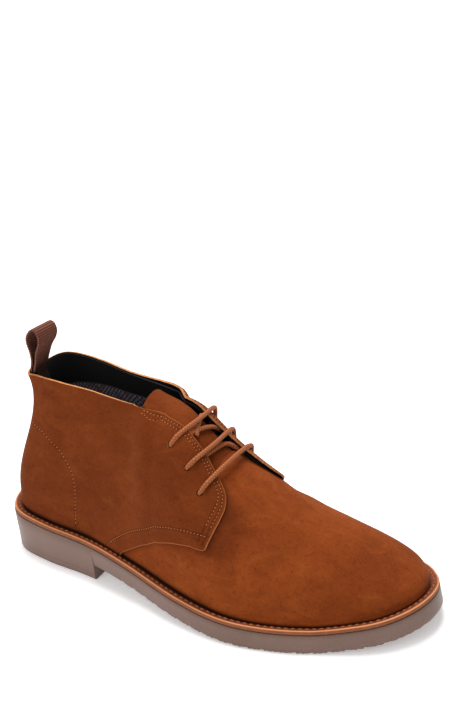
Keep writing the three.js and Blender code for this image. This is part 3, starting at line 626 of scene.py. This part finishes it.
def suede_material():
    m = Material("suede")
    p = m.place()
    broad = m.noise(p, 24, 3, .5)
    brushed = m.noise(m.stretch(p, .7, 1, 1.3), 85, 5, .62, .6)
    nap = m.noise(p, 420, 5, .68)
    fine = m.noise(p, 1700, 3, .7)
    m.colour = m.mix(broad.step(.25, .75), rgb(116, 50, 16), rgb(134, 62, 22))
    m.tint(brushed.step(.45, .8) * .5, 94, 37, 10)
    m.tint(brushed.step(.52, .25) * .35, 152, 78, 32)
    m.tint(nap.step(.48, .75) * .55, 84, 33, 8)
    m.tint(fine.step(.5, .8) * .4, 176, 98, 46)
    edge, lower, counter = (m.attribute(name) for name in ("edge", "lower", "counter"))
    front = edge.hump(FRONT_ROWS[0], .75) + edge.hump(FRONT_ROWS[1], .75)
    seams = front * m.attribute("front") + lower.hump(0, .8) + counter.hump(0, .8)
    m.tint(seams.step(0, 1.2) * .5, 64, 24, 8)
    shadow = m.attribute("lap_shadow").step(4.5, 0)
    m.tint(shadow * m.attribute("lap_shadow").step(-.5, .2) * .4, 56, 20, 7)
    m.tint(m.attribute("lap_shade") * .5, 70, 26, 8)
    foot = m.attribute("foot")
    # Painted shade: the suede's lowest few millimetres, where it meets the welt, go near black
    m.tint(foot.step(4.2, 1.0) * .92, 20, 8, 4)
    m.tint(edge.step(.5, .1) * .5, 190, 120, 66)
    m.set("Base Color", m.colour)
    m.set("Roughness", .95)
    m.set("Specular IOR Level", .08)
    m.set("Sheen Weight", .05)
    m.set("Sheen Roughness", .5)
    m.set("Sheen Tint", (1.0, .55, .25, 1))
    m.bump(nap * .35 + fine * .3 + brushed * .35 - seams * .9, .0006, .6)
    return m.data


def lining_material():
    m = Material("lining")
    cloth = m.attribute("cloth", 1)
    along, depth = m.axis(cloth, 0), m.axis(cloth, 1)
    first, second = (along + depth) / CHECK_PITCH, (along - depth) / CHECK_PITCH
    first, second = first.maths("PINGPONG", .5), second.maths("PINGPONG", .5)
    check = (first + second).step(.42, .5)
    dots = m.noise(m.place(), 900, 2)
    weave = m.mix(check, rgb(26, 22, 30), rgb(122, 118, 128))
    weave = m.mix(m.noise(m.place(), 240, 2).step(.5, .62) * .7, weave, rgb(92, 46, 46))
    band = (depth + m.noise(m.place(), 60, 2) * .8).step(21.0, 21.8)
    seam = depth.hump(20.2, .35)
    m.colour = m.mix(band, rgb(14, 11, 11), weave)
    m.tint(seam * .5, 70, 60, 58)
    m.set("Base Color", m.colour)
    m.set("Roughness", .88)
    m.bump(dots * .6 + check * band * .4 - seam, .0004, .5)
    return m.data


def welt_material():
    m = Material("welt_leather")
    p = m.place()
    grain = m.noise(p, 260, 4, .6)
    streak = m.noise(m.stretch(p, 1, 1, 3), 60, 3)
    rim, rise = m.attribute("rim"), m.attribute("rise")
    m.colour = m.mix(grain.step(.35, .7), rgb(100, 42, 15), rgb(134, 62, 25))
    m.tint(streak.step(.4, .7) * .4, 104, 44, 16)
    m.tint(rise.step(1.9, .3) * .55, 96, 52, 24)
    # Painted highlight: a light line along the welt's rounded top outer edge
    m.tint(rim.hump(.75, .5) * .85, 226, 152, 96)
    # Painted shade: the trough next to the upper goes near black
    m.tint(rim.step(4.2, 6.2) * .9, 22, 9, 4)
    m.set("Base Color", m.colour)
    m.set("Roughness", m.node("ShaderNodeMapRange", {}, grain, 0, 1, .5, .7))
    m.bump(grain * .6 + streak * .4, .0003, .4)
    return m.data


def rubber_material():
    m = Material("rubber")
    p = m.place()
    cloud = m.noise(p, 14, 2, .5)
    fine = m.noise(p, 700, 3, .6)
    rise = m.attribute("rise")
    m.colour = m.mix(cloud.step(.3, .7), rgb(106, 80, 68), rgb(118, 92, 81))
    m.tint(rise.step(.72, 1.0) * .55, 96, 70, 56)
    m.tint(rise.step(.16, .0) * .5, 98, 78, 72)
    m.tint(rise.hump(.2, .018) * .35, 92, 72, 66)
    m.tint(fine.step(.5, .8) * .2, 156, 134, 126)
    m.set("Base Color", m.colour)
    m.set("Roughness", .46)
    m.set("Coat Weight", .08)
    m.set("Subsurface Weight", .12)
    m.set("Subsurface Scale", .004)
    m.bump(fine * .5 + cloud * .5, .0002, .3)
    return m.data


def cord_material():
    m = Material("lace_cord")
    braid = m.attribute("braid", 1)
    run, turn = m.axis(braid, 0), m.axis(braid, 1)
    one = (run / BRAID_PITCH + turn * 2.0).maths("PINGPONG", .5)
    other = (run / BRAID_PITCH - turn * 2.0).maths("PINGPONG", .5)
    weave = (one * other) * 4.0
    fibre = m.noise(m.place(), 2400, 2)
    m.colour = m.mix(weave.step(.0, .6), rgb(132, 70, 36), rgb(172, 100, 56))
    m.tint(fibre.step(.5, .75) * .35, 194, 124, 76)
    m.set("Base Color", m.colour)
    m.set("Roughness", .78)
    m.bump(weave, .0003, .35)
    return m.data


def webbing_material():
    m = Material("webbing")
    strap = m.attribute("strap", 1)
    run, side, tail = (m.axis(strap, number) for number in range(3))
    ribs = (run / RIB_PITCH).maths("PINGPONG", .5) * 2.0
    threads = (side * 26.0).maths("PINGPONG", .5) * 2.0
    fuzz = m.noise(m.place(), 1500, 2)
    m.colour = m.mix(ribs.step(.15, .8), rgb(72, 38, 28), rgb(126, 74, 56))
    m.tint(threads.step(.5, 1) * .3, 84, 48, 36)
    m.tint(fuzz.step(.5, .8) * .3, 150, 98, 76)
    # Painted shadow: the strap's tails, down inside the collar, go near black
    m.tint(tail.step(24, 14) * .85, 30, 16, 12)
    m.set("Base Color", m.colour)
    m.set("Roughness", .9)
    m.bump(ribs * .6 + threads * .3 + fuzz * .2, .0003, .6)
    return m.data


def plain_material(name, dark, light, rough, scale):
    m = Material(name)
    grain = m.noise(m.place(), scale, 4)
    m.set("Base Color", m.mix(grain.step(.35, .7), dark, light))
    m.set("Roughness", rough)
    m.bump(grain, .0003, .4)
    return m.data


SUEDE = suede_material()
RAW_EDGE = plain_material("raw_edge", rgb(176, 110, 62), rgb(212, 150, 98), .9, 900)
LINING = lining_material()
WELT = welt_material()
RUBBER = rubber_material()
THREAD = plain_material("thread", rgb(162, 94, 48), rgb(204, 132, 78), .85, 1500)
WELT_THREAD = plain_material("welt_thread", rgb(132, 74, 38), rgb(176, 110, 66), .7, 1500)
CORD = cord_material()
WEBBING = webbing_material()
BOARD = plain_material("sock", rgb(20, 15, 14), rgb(34, 27, 25), .9, 500)


# Sewn rows
def capsules(name, places, slot, nodes, radius, mat):
    """Short rounded threads between pairs of places, each pair with a normal, as one mesh."""
    profile = ((0, .35), (.12, .8), (.3, 1), (.7, 1), (.88, .8), (1, .35))
    sides = 6
    points, faces = [], []
    for start, end, normal in places:
        ahead = end - start
        length = np.linalg.norm(ahead)
        if length < .05:
            continue
        ahead = ahead / length
        side = unit(np.cross(ahead, normal))
        lift = np.cross(side, ahead)
        first = len(points)
        for along, wide in profile:
            middle = start + ahead * length * along - lift * radius * 1.1 * (2 * along - 1)**2
            for k in range(sides):
                a = 2 * math.pi * k / sides
                points.append(middle + radius * wide * (side * math.cos(a) + lift * math.sin(a)))
        faces += ring_faces(len(profile), sides, first)
        faces.append(tuple(range(first + sides - 1, first - 1, -1)))
        last = first + (len(profile) - 1) * sides
        faces.append(tuple(range(last, last + sides)))
    dress(new_object(name, points, faces, [mat]), slot, *nodes)


# The rubber sole
FINE_PITCH = 3.2  # pitch of the fine teeth along the forefoot's lower edge
FINE_TREAD = .45
FINE_FADE = (96, 120)  # where they start, behind the ball


def tread(x):
    """1 in a groove of the tread and 0 between."""
    rest = TREAD_REST / 2 + TREAD_GROOVE / 2
    places = list(np.arange(FOREFOOT_REST_AT - rest, BREAST_AT + 2 * TREAD_PITCH, -TREAD_PITCH))
    toe = SOLE_LENGTH - HEEL_BACK - TREAD_PITCH
    places += list(np.arange(FOREFOOT_REST_AT + rest, toe, TREAD_PITCH))
    heel = np.arange(HEEL_GROOVE_AT, BREAST_AT - TREAD_PITCH / 2, TREAD_PITCH)
    places += list(heel) + list(-heel)
    depth = np.zeros_like(x)
    for at in places:
        depth = np.maximum(depth, np.abs(x - at) < TREAD_GROOVE / 2)
    return depth


def make_sole():
    count = 900
    half = np.linspace(0, 1, count + 1)
    breast = float(angle_of(share_at(BREAST_AT)) / np.pi)
    half = np.unique(np.concatenate([half, [breast - .0004, breast + .0004]]))
    us = np.concatenate([half, 2 - half[-2:0:-1]])
    n, side = len(us), len(half) - 1
    plan, out = outline(us), outward(us)
    x = plan[:, 0]
    front = smoothstep(x, BREAST_AT, FOREFOOT_REST_AT)
    flare = SOLE_FLARE * front - HEEL_TAPER * (1 - front)
    top = rubber_top(x)
    fine = np.abs(np.mod(x / FINE_PITCH, 1) - .5) * 2 * FINE_TREAD * smoothstep(x, *FINE_FADE)
    base = np.where(x <= BREAST_AT, 0, arch_at(x))
    floor = np.where(x <= BREAST_AT, 0, base + fine + SIDE_TREAD * tread(x))
    chamfer = 1.2
    levels = []
    # Rows of the side from the floor up: how far each stands out, and its height
    for reach, z in (
        (flare - chamfer, floor), (flare - .3, floor + .35), (flare, floor + chamfer),
        (flare * .75, floor + (top - floor) * .3), (flare * .5, floor + (top - floor) * .5),
        (flare * .25, floor + (top - floor) * .7), (0 * x, top - .9), (0 * x - .25, top - .25),
        (0 * x - .9, top),
    ):
        levels.append(np.concatenate([plan + out * reach[:, None], z[:, None]], 1))
    points = np.vstack(levels)
    faces = ring_faces(len(levels), n)
    last = (len(levels) - 1) * n
    for j in range(side):
        a, b, c, d = j, j + 1, (n - j - 1) % n, (n - j) % n
        for face in ([a, d, c, b], [last + a, last + b, last + c, last + d]):
            face = [v for i, v in enumerate(face) if v not in face[:i]]
            if len(face) > 2:
                faces.append(face)
    rise = np.concatenate([(level[:, 2] - base) / (top - base) for level in levels])
    sole = new_object("rubber_sole", points, faces, [RUBBER], attributes={"rise": rise}, sharp=38)
    dress(sole, "rubber", "outsole")


# The welt: a strip round the upper on the sole's edge, with a trough that its stitches lie in
WELT_TROUGH = ((.2, .05), (.34, -.1), (.44, -.5), (.54, -.75), (.64, -.9), (.8, -1.2), (1, -1.2))


def wall_loop(us, rise):
    """Places a gap outside the upper's wall, at a rise above its foot."""
    ts = np.linspace(0, .35, 60)
    grid = upper_point(us[:, None], ts[None, :])
    z = grid[..., 2] - grid[:, :1, 2]
    places = np.array([read_at(z[i], grid[i], rise) for i in range(len(us))])
    places[:, :2] += outward(us) * GAP
    return places


def make_welt():
    us = np.linspace(0, 2, 900, endpoint=False)
    plan, out = outline(us), outward(us)
    base = rubber_top(plan[:, 0]) + GAP
    thick = WELT_THICKNESS
    inner, foot = wall_loop(us, thick), wall_loop(us, 0)
    rows = []
    for back, rise in ((.8, 0), (.2, .15), (0, .5), (0, thick - .7), (.2, thick - .25), (.7, thick)):
        place = plan - out * (WELT_INSET + back)
        rows.append(np.concatenate([place, (base + rise)[:, None]], 1))
    edge = rows[-1]
    for share, drop in WELT_TROUGH:
        row = edge * (1 - share) + inner * share
        row[:, 2] += drop
        rows.append(row)
    rows.append(foot)
    # rim, the distance in from the welt's outer edge, places the painted highlight and the painted shade
    # in the trough
    rim = np.concatenate([np.linalg.norm((row - rows[3])[:, :2], axis=1) for row in rows])
    rise = np.concatenate([row[:, 2] - base for row in rows])
    rise[-2 * len(us):] = 9
    faces = ring_faces(len(rows), len(us), closed=True)
    strip = new_object("welt_strip", np.vstack(rows), faces, [WELT],
                       attributes={"rim": rim, "rise": rise}, sharp=50)
    sewn = edge * .54 + inner * .46
    sewn[:, 2] -= .3
    run = run_of(sewn)
    at = np.arange(1, run[-1] - 4, WELT_PITCH)
    starts, ends = read_at(run, sewn, at), read_at(run, sewn, at + WELT_STITCH)
    pairs = [(start, end, np.array([0, 0, 1.0])) for start, end in zip(starts, ends)]
    capsules("welt_stitches", pairs, "welt_leather", ["welt"], WELT_THREAD_RADIUS, WELT_THREAD)
    dress(strip, "welt_leather", "welt")


# The upper in layers: quarters over vamp, a lining inside
US = np.linspace(0, 2, 641)
TS = np.concatenate([np.linspace(0, .1, 12)[:-1], np.linspace(.1, 1, 84)])
EYELET_PLACES = [on_upper(u_of(row[0], -1), row[1], 0)[0] for row in EYELETS]
EYELET_PLACES += [on_upper(u_of(row[2], 1), row[3], 0)[0] for row in EYELETS]


def away_from_eyelets(points):
    return np.min([np.linalg.norm(points - place, axis=-1) for place in EYELET_PLACES], axis=0)


def quarter_field(u, t):
    hole = EYELET_DIAMETER / 2 - away_from_eyelets(upper_point(u, t))
    return np.maximum(edge_distance(u, t), hole)


def lap_height(edge):
    return LAP * (1 - smoothstep(edge, *LAP_FADE))


def flap_lift(u, t, edge):
    """How far the inner facing stands off at its free edge."""
    held = smoothstep(t, .66, .8) * smoothstep(share_of(u), .4, .46)
    held = held * (.4 + .6 * smoothstep(share_of(u), .5, .57))
    return FLAP_LIFT * (side_of(u) > 0) * held * (1 - smoothstep(edge, 0, 15))


def suede_marks(u, t):
    """What the suede's material reads: distances in millimetres, and a mask of the front rows."""
    share = share_of(u)
    edge = -edge_distance(u, t)
    return {"edge": edge, "lower": distance_to(LOWER_LINE, share, t),
            "counter": distance_to(COUNTER_LINE, share, t), "foot": t * CLIMB_SPAN,
            "front": smoothstep(t, .36, .4) * smoothstep(share, .425, .44)}


def make_quarters():
    params, faces = clipped_grid(US, TS, quarter_field)
    u, t = params[:, 0], params[:, 1]
    marks = suede_marks(u, t)
    height = lap_height(marks["edge"]) + flap_lift(u, t, marks["edge"]) + relief(u, t)
    outer, _ = on_upper(u, t, height)
    inner, _ = on_upper(u, t, height - QUARTER_LEATHER)
    dress(new_sheet("quarters", outer, inner, faces, [SUEDE, LINING, RAW_EDGE], marks, 45),
          "suede", "upper")


def make_vamp():
    def field(u, t):
        x = upper_point(u, t)[..., 0]
        throat = np.minimum(VAMP_BACK - x, (t - .75) * 60)
        return np.maximum(-edge_distance(u, t) - VAMP_UNDERLAP, throat)

    params, faces = clipped_grid(US, TS, field)
    u, t = params[:, 0], params[:, 1]
    places = upper_point(u, t)
    throat = 1 - smoothstep(places[:, 0], *THROAT_FADE)
    throat = throat * (1 - smoothstep(np.abs(places[:, 1]), *THROAT_SIDES))
    depth = (WALL - .2) * throat * (t > .5)
    height = relief(u, t) * (1 - smoothstep(throat, 0, .3)) - .05 - depth
    outer, _ = on_upper(u, t, height)
    inner, _ = on_upper(u, t, height - VAMP_LEATHER)
    marks = suede_marks(u, t)
    marks["lap_shadow"] = -marks["edge"]
    marks["lap_shade"] = (smoothstep(-marks["edge"], 18, 1) * smoothstep(t, .3, .42)
                          * smoothstep(t, .82, .7) * (share_of(u) > .5))
    marks["edge"], marks["lower"] = marks["edge"] * 0 + 99, marks["lower"] * 0 + 99
    dress(new_sheet("vamp", outer, inner, faces, [SUEDE, LINING, SUEDE], marks, 50),
          "suede", "upper")


COARSE_US, COARSE_TS = np.meshgrid(np.linspace(.4, 1.6, 181), np.linspace(.4, 1, 49), indexing="ij")
COARSE = upper_point(COARSE_US, COARSE_TS).reshape(-1, 3)


def plan_params(x, y):
    """Ways round and climbs of the upper's top over places in plan, by Newton's method."""
    gap = (COARSE[None, :, 0] - x[:, None])**2 + (COARSE[None, :, 1] - y[:, None])**2
    first = gap.argmin(1)
    u, t = COARSE_US.ravel()[first], COARSE_TS.ravel()[first]
    step = .001
    for _ in range(8):
        t = np.minimum(t, 1 - step)
        p = upper_point(u, t)
        pu, pt = (upper_point(u + step, t) - p) / step, (upper_point(u, t + step) - p) / step
        area = pu[:, 0] * pt[:, 1] - pu[:, 1] * pt[:, 0]
        area = np.where(np.abs(area) < 1, np.where(area < 0, -1, 1), area)
        dx, dy = x - p[:, 0], y - p[:, 1]
        u = u + np.clip((dx * pt[:, 1] - dy * pt[:, 0]) / area, -.01, .01)
        t = np.clip(t + np.clip((pu[:, 0] * dy - pu[:, 1] * dx) / area, -.02, .02), 0, 1)
    return u, t


def over_plan(x, y, height):
    """Places over plan positions on the upper's top."""
    x, y, height = np.broadcast_arrays(*(np.asarray(v, float) for v in (x, y, height)))
    u, t = plan_params(x, y)
    return on_upper(u, t, height)[0]


# How far the tongue reaches to the inner side: places along the foot, then across
TONGUE_REACH = ((71, 15.5), (74, 18.5), (79, 17), (86, 13), (93, 9.2), (100, 5.6), (108, 3.6),
                (118, 3.6), (128, 5), (138, 9), (148, 12))


def make_tongue():
    rows, columns = 60, 24
    start = float(along_of(form(RIDGE_SHARE, "topAt"))) + 3
    outer, inner = [], []
    for x in np.linspace(TONGUE_TOP_AT, TONGUE_FRONT_AT, rows + 1):
        spread = float(smoothstep(x, start, start + TONGUE_HALF))
        half = TONGUE_TOP_HALF + (TONGUE_HALF - TONGUE_TOP_HALF) * spread
        held = max(x, start)
        free = np.clip((held - x) / (start - TONGUE_TOP_AT), 0, 1)
        across = np.linspace(0, 1, columns + 1)
        reach = np.interp(x, *np.array(TONGUE_REACH).T)
        y = (TONGUE_SHIFT * free - half) * (1 - across) + reach * across
        lift = free * (TONGUE_LIFT + TONGUE_TILT * across)
        depth = -(WALL + GAP) + (WALL - .3) * float(smoothstep(x, 126, 146))
        for sheet, height in ((outer, depth), (inner, depth - TONGUE_THICKNESS + .3)):
            row = over_plan(held, y, height)
            row[:, 0] += x - held
            row[:, 2] += lift
            sheet.append(row)
    faces = grid_faces(rows + 1, columns + 1)
    outer, inner = np.vstack(outer), np.vstack(inner)
    marks = dict.fromkeys(("edge", "lower", "counter", "foot"), np.full(len(outer), 99.0))
    dress(new_sheet("tongue_sheet", outer, inner, faces, [SUEDE, LINING, RAW_EDGE], marks, 50),
          "tongue_suede", "tongue")


def make_lining():
    def field(u, t):
        return np.maximum(edge_distance(u, t) + LINING_SETBACK, .16 - t)

    params, faces = clipped_grid(US[::2], TS[::2], field)
    u, t = params[:, 0], params[:, 1]
    edge = -edge_distance(u, t)
    lift = flap_lift(u, t, edge)
    short = .8 * smoothstep(t, .96, 1)
    outer, _ = on_upper(u, t, lift - 1.5)
    inner, _ = on_upper(u, t, lift - WALL)
    for sheet in (outer, inner):
        sheet[:, 2] -= short
    share = share_of(u)
    top = COLLAR_HEIGHT * form(share, "up")
    cloth = np.stack([along_of(share), top - outer[:, 2], 0 * t], -1)
    dress(new_sheet("lining_sheet", outer, inner, faces, [LINING] * 3, {"cloth": cloth}, 60),
          "suede", "upper")


# The pieces of lace under the bars, as places in plan on the tongue
CROSSINGS = (
    ((100, -20), (104.5, -16), (107.5, -11.7), (110.9, -1.7), (113.8, 7.6), (117, 17)),
    ((110.2, -11.5), (108.7, -7.6), (107, -2), (106, 1.5), (105.2, 4.5)),
    ((112, -26), (116, -21), (118.5, -16.6), (120.7, -7.9), (122.6, 3), (126.6, 9), (129, 18)),
)
BAR_SHIFT = (-2.5, -3.0, -1.5)  # how far each bar's inner part lies forward, or back if negative
BAR_ARCH = (.3, -1.8, -1.6)  # how much higher it runs, or lower if negative
CORD_DIVE = (-4.6, -2.4, -.2)  # heights of a bar's end as it comes up through its eyelet


def cord_path(points, name):
    path = smooth_line(points, 6)
    normals = path - (path.mean(0) - np.array([0, 0, 60]))
    count = 16
    shape, faces = sweep(path, normals, circle(LACE_DIAMETER / 2, count))
    turn = np.arange(count) / count
    braid = np.stack([np.repeat(run_of(path), count), np.tile(turn, len(path)), 0 * shape[:, 0]], -1)
    dress(new_object(name, shape, faces, [CORD], attributes={"braid": braid}), "cord", "lace")


def make_laces():
    for number, (at, climb, inner_at, inner_climb, lift) in enumerate(EYELETS):
        ends = [(u_of(at, -1), climb), (u_of(inner_at, 1), inner_climb)]
        start, end = (on_upper(u, t, 0)[0] for u, t in ends)
        share = np.linspace(0, 1, 23)
        base = start + (end - start) * share[:, None]
        loose = share**2 * (1 - smoothstep(share, .86, 1))
        base[:, 0] += 4 * LACE_BOW * share * (1 - share) + BAR_SHIFT[number] * loose
        y = base[:, 1]
        # A bar climbs the inner facing's free edge and comes down again behind it
        rise = GAP + LAP * lift * .7 + LACE_DIAMETER / 2
        rise = rise + FLAP_LIFT * smoothstep(y, 2, 13) * (1 - smoothstep(y, 14, 28))
        high = over_plan(base[:, 0], y, rise + BAR_ARCH[number] * loose)
        tips = [np.array([on_upper(u, t, h)[0] for h in CORD_DIVE]) for u, t in ends]
        path = np.vstack([tips[0], high[2:-2], tips[1][::-1]])
        cord_path(path, "lace_bar_%d" % (number + 1))
    for number, places in enumerate(CROSSINGS):
        x, y = np.array(places, float).T
        cord_path(over_plan(x, y, -1.0), "lace_crossing_%d" % (number + 1))


# The open loop from the back to the front: shares of LOOP_DEPTH and of LOOP_HEIGHT
LOOP_FORM = ((.05, .08), (.3, .3), (.4, .5), (.36, .68), (.46, .82), (.8, .95), (1.12, 1),
             (1.4, .95), (1.5, .82), (1.33, .68), (.92, .5), (.62, .3), (.3, .08))


def make_loop():
    tail = (LOOP_TAIL, LOOP_TAIL / 2, .6)
    us, ts = np.linspace(-.35, .35, 281), np.linspace(.5, 1, 121)
    grid = upper_point(us[:, None], ts[None, :])

    def inside_back(y, down, depth):
        gap = (grid[..., 1] - y)**2 + (grid[..., 2] - (COLLAR_HEIGHT - down))**2
        a, b = np.unravel_index(gap.argmin(), gap.shape)
        return on_upper(us[a], ts[b], -depth)[0]
    rear_depth = WALL + 2 * GAP + LOOP_THICKNESS / 2
    front_depth = rear_depth + LOOP_THICKNESS + GAP
    middle = inside_back(0, tail[2], rear_depth)
    runs = []
    for share in np.linspace(-1, 1, 25):
        y = share * LOOP_WIDTH / 2
        rear = [inside_back(y, d, rear_depth) for d in tail]
        front = [inside_back(y, d, front_depth) for d in reversed(tail)]
        opened = []
        for out, up in LOOP_FORM:
            free = float(smoothstep(up, 0, 1))
            turn = math.radians(LOOP_TWIST) * free
            x = rear[2][0] + (middle[0] - rear[2][0]) * free + out * LOOP_DEPTH
            opened.append((x + y * math.sin(turn), y * math.cos(turn), COLLAR_HEIGHT + up * LOOP_HEIGHT))
        runs.append(smooth_line([*rear, *opened, *front], 12))
    runs = np.array(runs)
    step = np.gradient(runs, axis=1)
    across = unit(np.stack([-step[..., 2], 0 * step[..., 0], step[..., 0]], -1))
    columns, rows = runs.shape[:2]
    run = run_of(runs[columns // 2])
    rib = RIB_HEIGHT * np.cos(2 * np.pi * run / RIB_PITCH)
    half = LOOP_THICKNESS / 2 - .2 + rib[None, :, None]
    faces = grid_faces(columns, rows)
    outer, inner = ((runs + sign * across * half).reshape(-1, 3) for sign in (-1, 1))
    # The third number, the distance from the nearer end, places the painted shadow on the tails
    strap = np.stack([np.tile(run, columns), np.repeat(np.linspace(-1, 1, columns), rows),
                      np.tile(np.minimum(run, run[-1] - run), columns)], -1)
    dress(new_sheet("loop_strap", outer, inner, faces, [WEBBING], {"strap": strap}, 50),
          "webbing", "pull_loop")


# Rows of stitches on the upper
def quarter_top(u, t):
    edge = -edge_distance(u, t)
    return lap_height(edge) + flap_lift(u, t, edge) + relief(u, t) + THREAD_SINK


def row_places(line, side, pitch, length):
    """Pairs of places at even steps along a line of shares on one side of the upper."""
    line = line[(line[:, 1] > .02) & (line[:, 1] < .985)]
    u = u_of(line[:, 0], side)
    base, normals = on_upper(u, line[:, 1], quarter_top(u, line[:, 1]))
    run = run_of(base)
    at = np.arange(pitch / 2, run[-1] - pitch / 2, pitch)
    starts, ends = (read_at(run, base, at + half) for half in (-length / 2, length / 2))
    return list(zip(starts, ends, read_at(run, normals, at)))


def beside(line, away):
    """A line beside another in the flat plane: away to its right, or to its left if negative."""
    flat = line * FLAT
    step = unit(np.gradient(flat, axis=0))
    moved = flat + away * np.stack([step[:, 1], -step[:, 0]], -1)
    clear = np.abs(distance_to(line, moved[:, 0] / FLAT[0], moved[:, 1] / FLAT[1])) > abs(away) * .93
    return moved[clear] / FLAT


def make_seams():
    rows = []
    # The front rows run from the collar's corner down to the top of the row on the lower edge
    for side, front in ((-1, OUTER_EDGE[3:21]), (1, INNER_EDGE[3:20])):
        line = smooth_line(front, 16)
        for away in FRONT_ROWS:
            both = [beside(line, sign * away) for sign in (1, -1)]
            both.sort(key=lambda row: edge_distance(u_of(row[:, 0], side), row[:, 1]).mean())
            rows += row_places(both[0], side, STITCH_PITCH, STITCH_LENGTH)
        rows += row_places(smooth_line(LOWER_ROW, 16), side, STITCH_PITCH, STITCH_LENGTH)
        rows += row_places(smooth_line(COUNTER_ROW, 16), side, COUNTER_PITCH, COUNTER_STITCH)
    capsules("quarter_stitches", rows, "suede", ["upper"], THREAD_RADIUS, THREAD)


make_seams()
make_sole()
make_welt()
make_quarters()
make_vamp()
make_tongue()
make_lining()
make_laces()
make_loop()
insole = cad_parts["insole"]
insole.data.materials.clear()
insole.data.materials.append(BOARD)

# Floor, light and camera
floor_mat = Material("floor")
floor_mat.set("Base Color", (.9, .9, .9, 1))
floor_mat.set("Roughness", .9)
floor_mat.set("Emission Color", (1, 1, 1, 1))
floor_mat.set("Emission Strength", .3)
FLOOR_HALF, FLOOR_DROP = 3000, -.05
corners = [(x * FLOOR_HALF, y * FLOOR_HALF, FLOOR_DROP) for x, y in ((-1, -1), (1, -1), (1, 1), (-1, 1))]
floor = new_object("floor", corners, [(0, 1, 2, 3)], [floor_mat.data], smooth=False)

world = bpy.data.worlds.new("studio")
bpy.context.scene.world = world
world.use_nodes = True
background = world.node_tree.nodes["Background"]
background.inputs["Color"].default_value = (1, 1, 1, 1)
background.inputs["Strength"].default_value = .5


def area_light(name, place, target, size, power):
    data = bpy.data.lights.new(name, "AREA")
    data.shape = "DISK"
    data.size = size
    data.energy = power
    obj = linked(name, data)
    obj.location = place
    obj.rotation_euler = (Vector(target) - Vector(place)).to_track_quat("-Z", "Y").to_euler()


area_light("key", (-.15, .4, 1.5), (.1, 0, .05), 1.0, 27)
area_light("fill", (-.3, -1.5, .9), (.1, 0, .05), 1.2, 7.5)

# The camera of the photograph: turn, height and roll in degrees, distance and aim in millimetres
TURN, HEIGHT, ROLL = math.radians(30.6), math.radians(29.7), math.radians(-4.2)
DISTANCE, FOCAL_PX, CENTRE_PX = 1018.0, 1656.6, (248.2, 452.1)
AIM = Vector((138.8, 0, 96.4))
FRAME_PX = (460, 706)
SENSOR = 36
back = Vector((math.sin(TURN) * math.cos(HEIGHT), -math.cos(TURN) * math.cos(HEIGHT), math.sin(HEIGHT)))
level = Vector((math.cos(TURN), math.sin(TURN), 0))
upright = back.cross(level)
right = level * math.cos(ROLL) + upright * math.sin(ROLL)
up = upright * math.cos(ROLL) - level * math.sin(ROLL)
camera_data = bpy.data.cameras.new("camera")
camera = linked("camera", camera_data)
turned = Matrix((right, up, back)).transposed().to_4x4()
camera.matrix_world = Matrix.Translation((AIM + back * DISTANCE) * MM) @ turned
camera_data.sensor_fit = "AUTO"
camera_data.sensor_width = SENSOR
camera_data.lens = FOCAL_PX / FRAME_PX[1] * SENSOR
camera_data.shift_x = (FRAME_PX[0] / 2 - CENTRE_PX[0]) / FRAME_PX[1]
camera_data.shift_y = (CENTRE_PX[1] - FRAME_PX[1] / 2) / FRAME_PX[1]
bpy.context.scene.camera = camera
bpy.context.scene.view_settings.view_transform = "Standard"
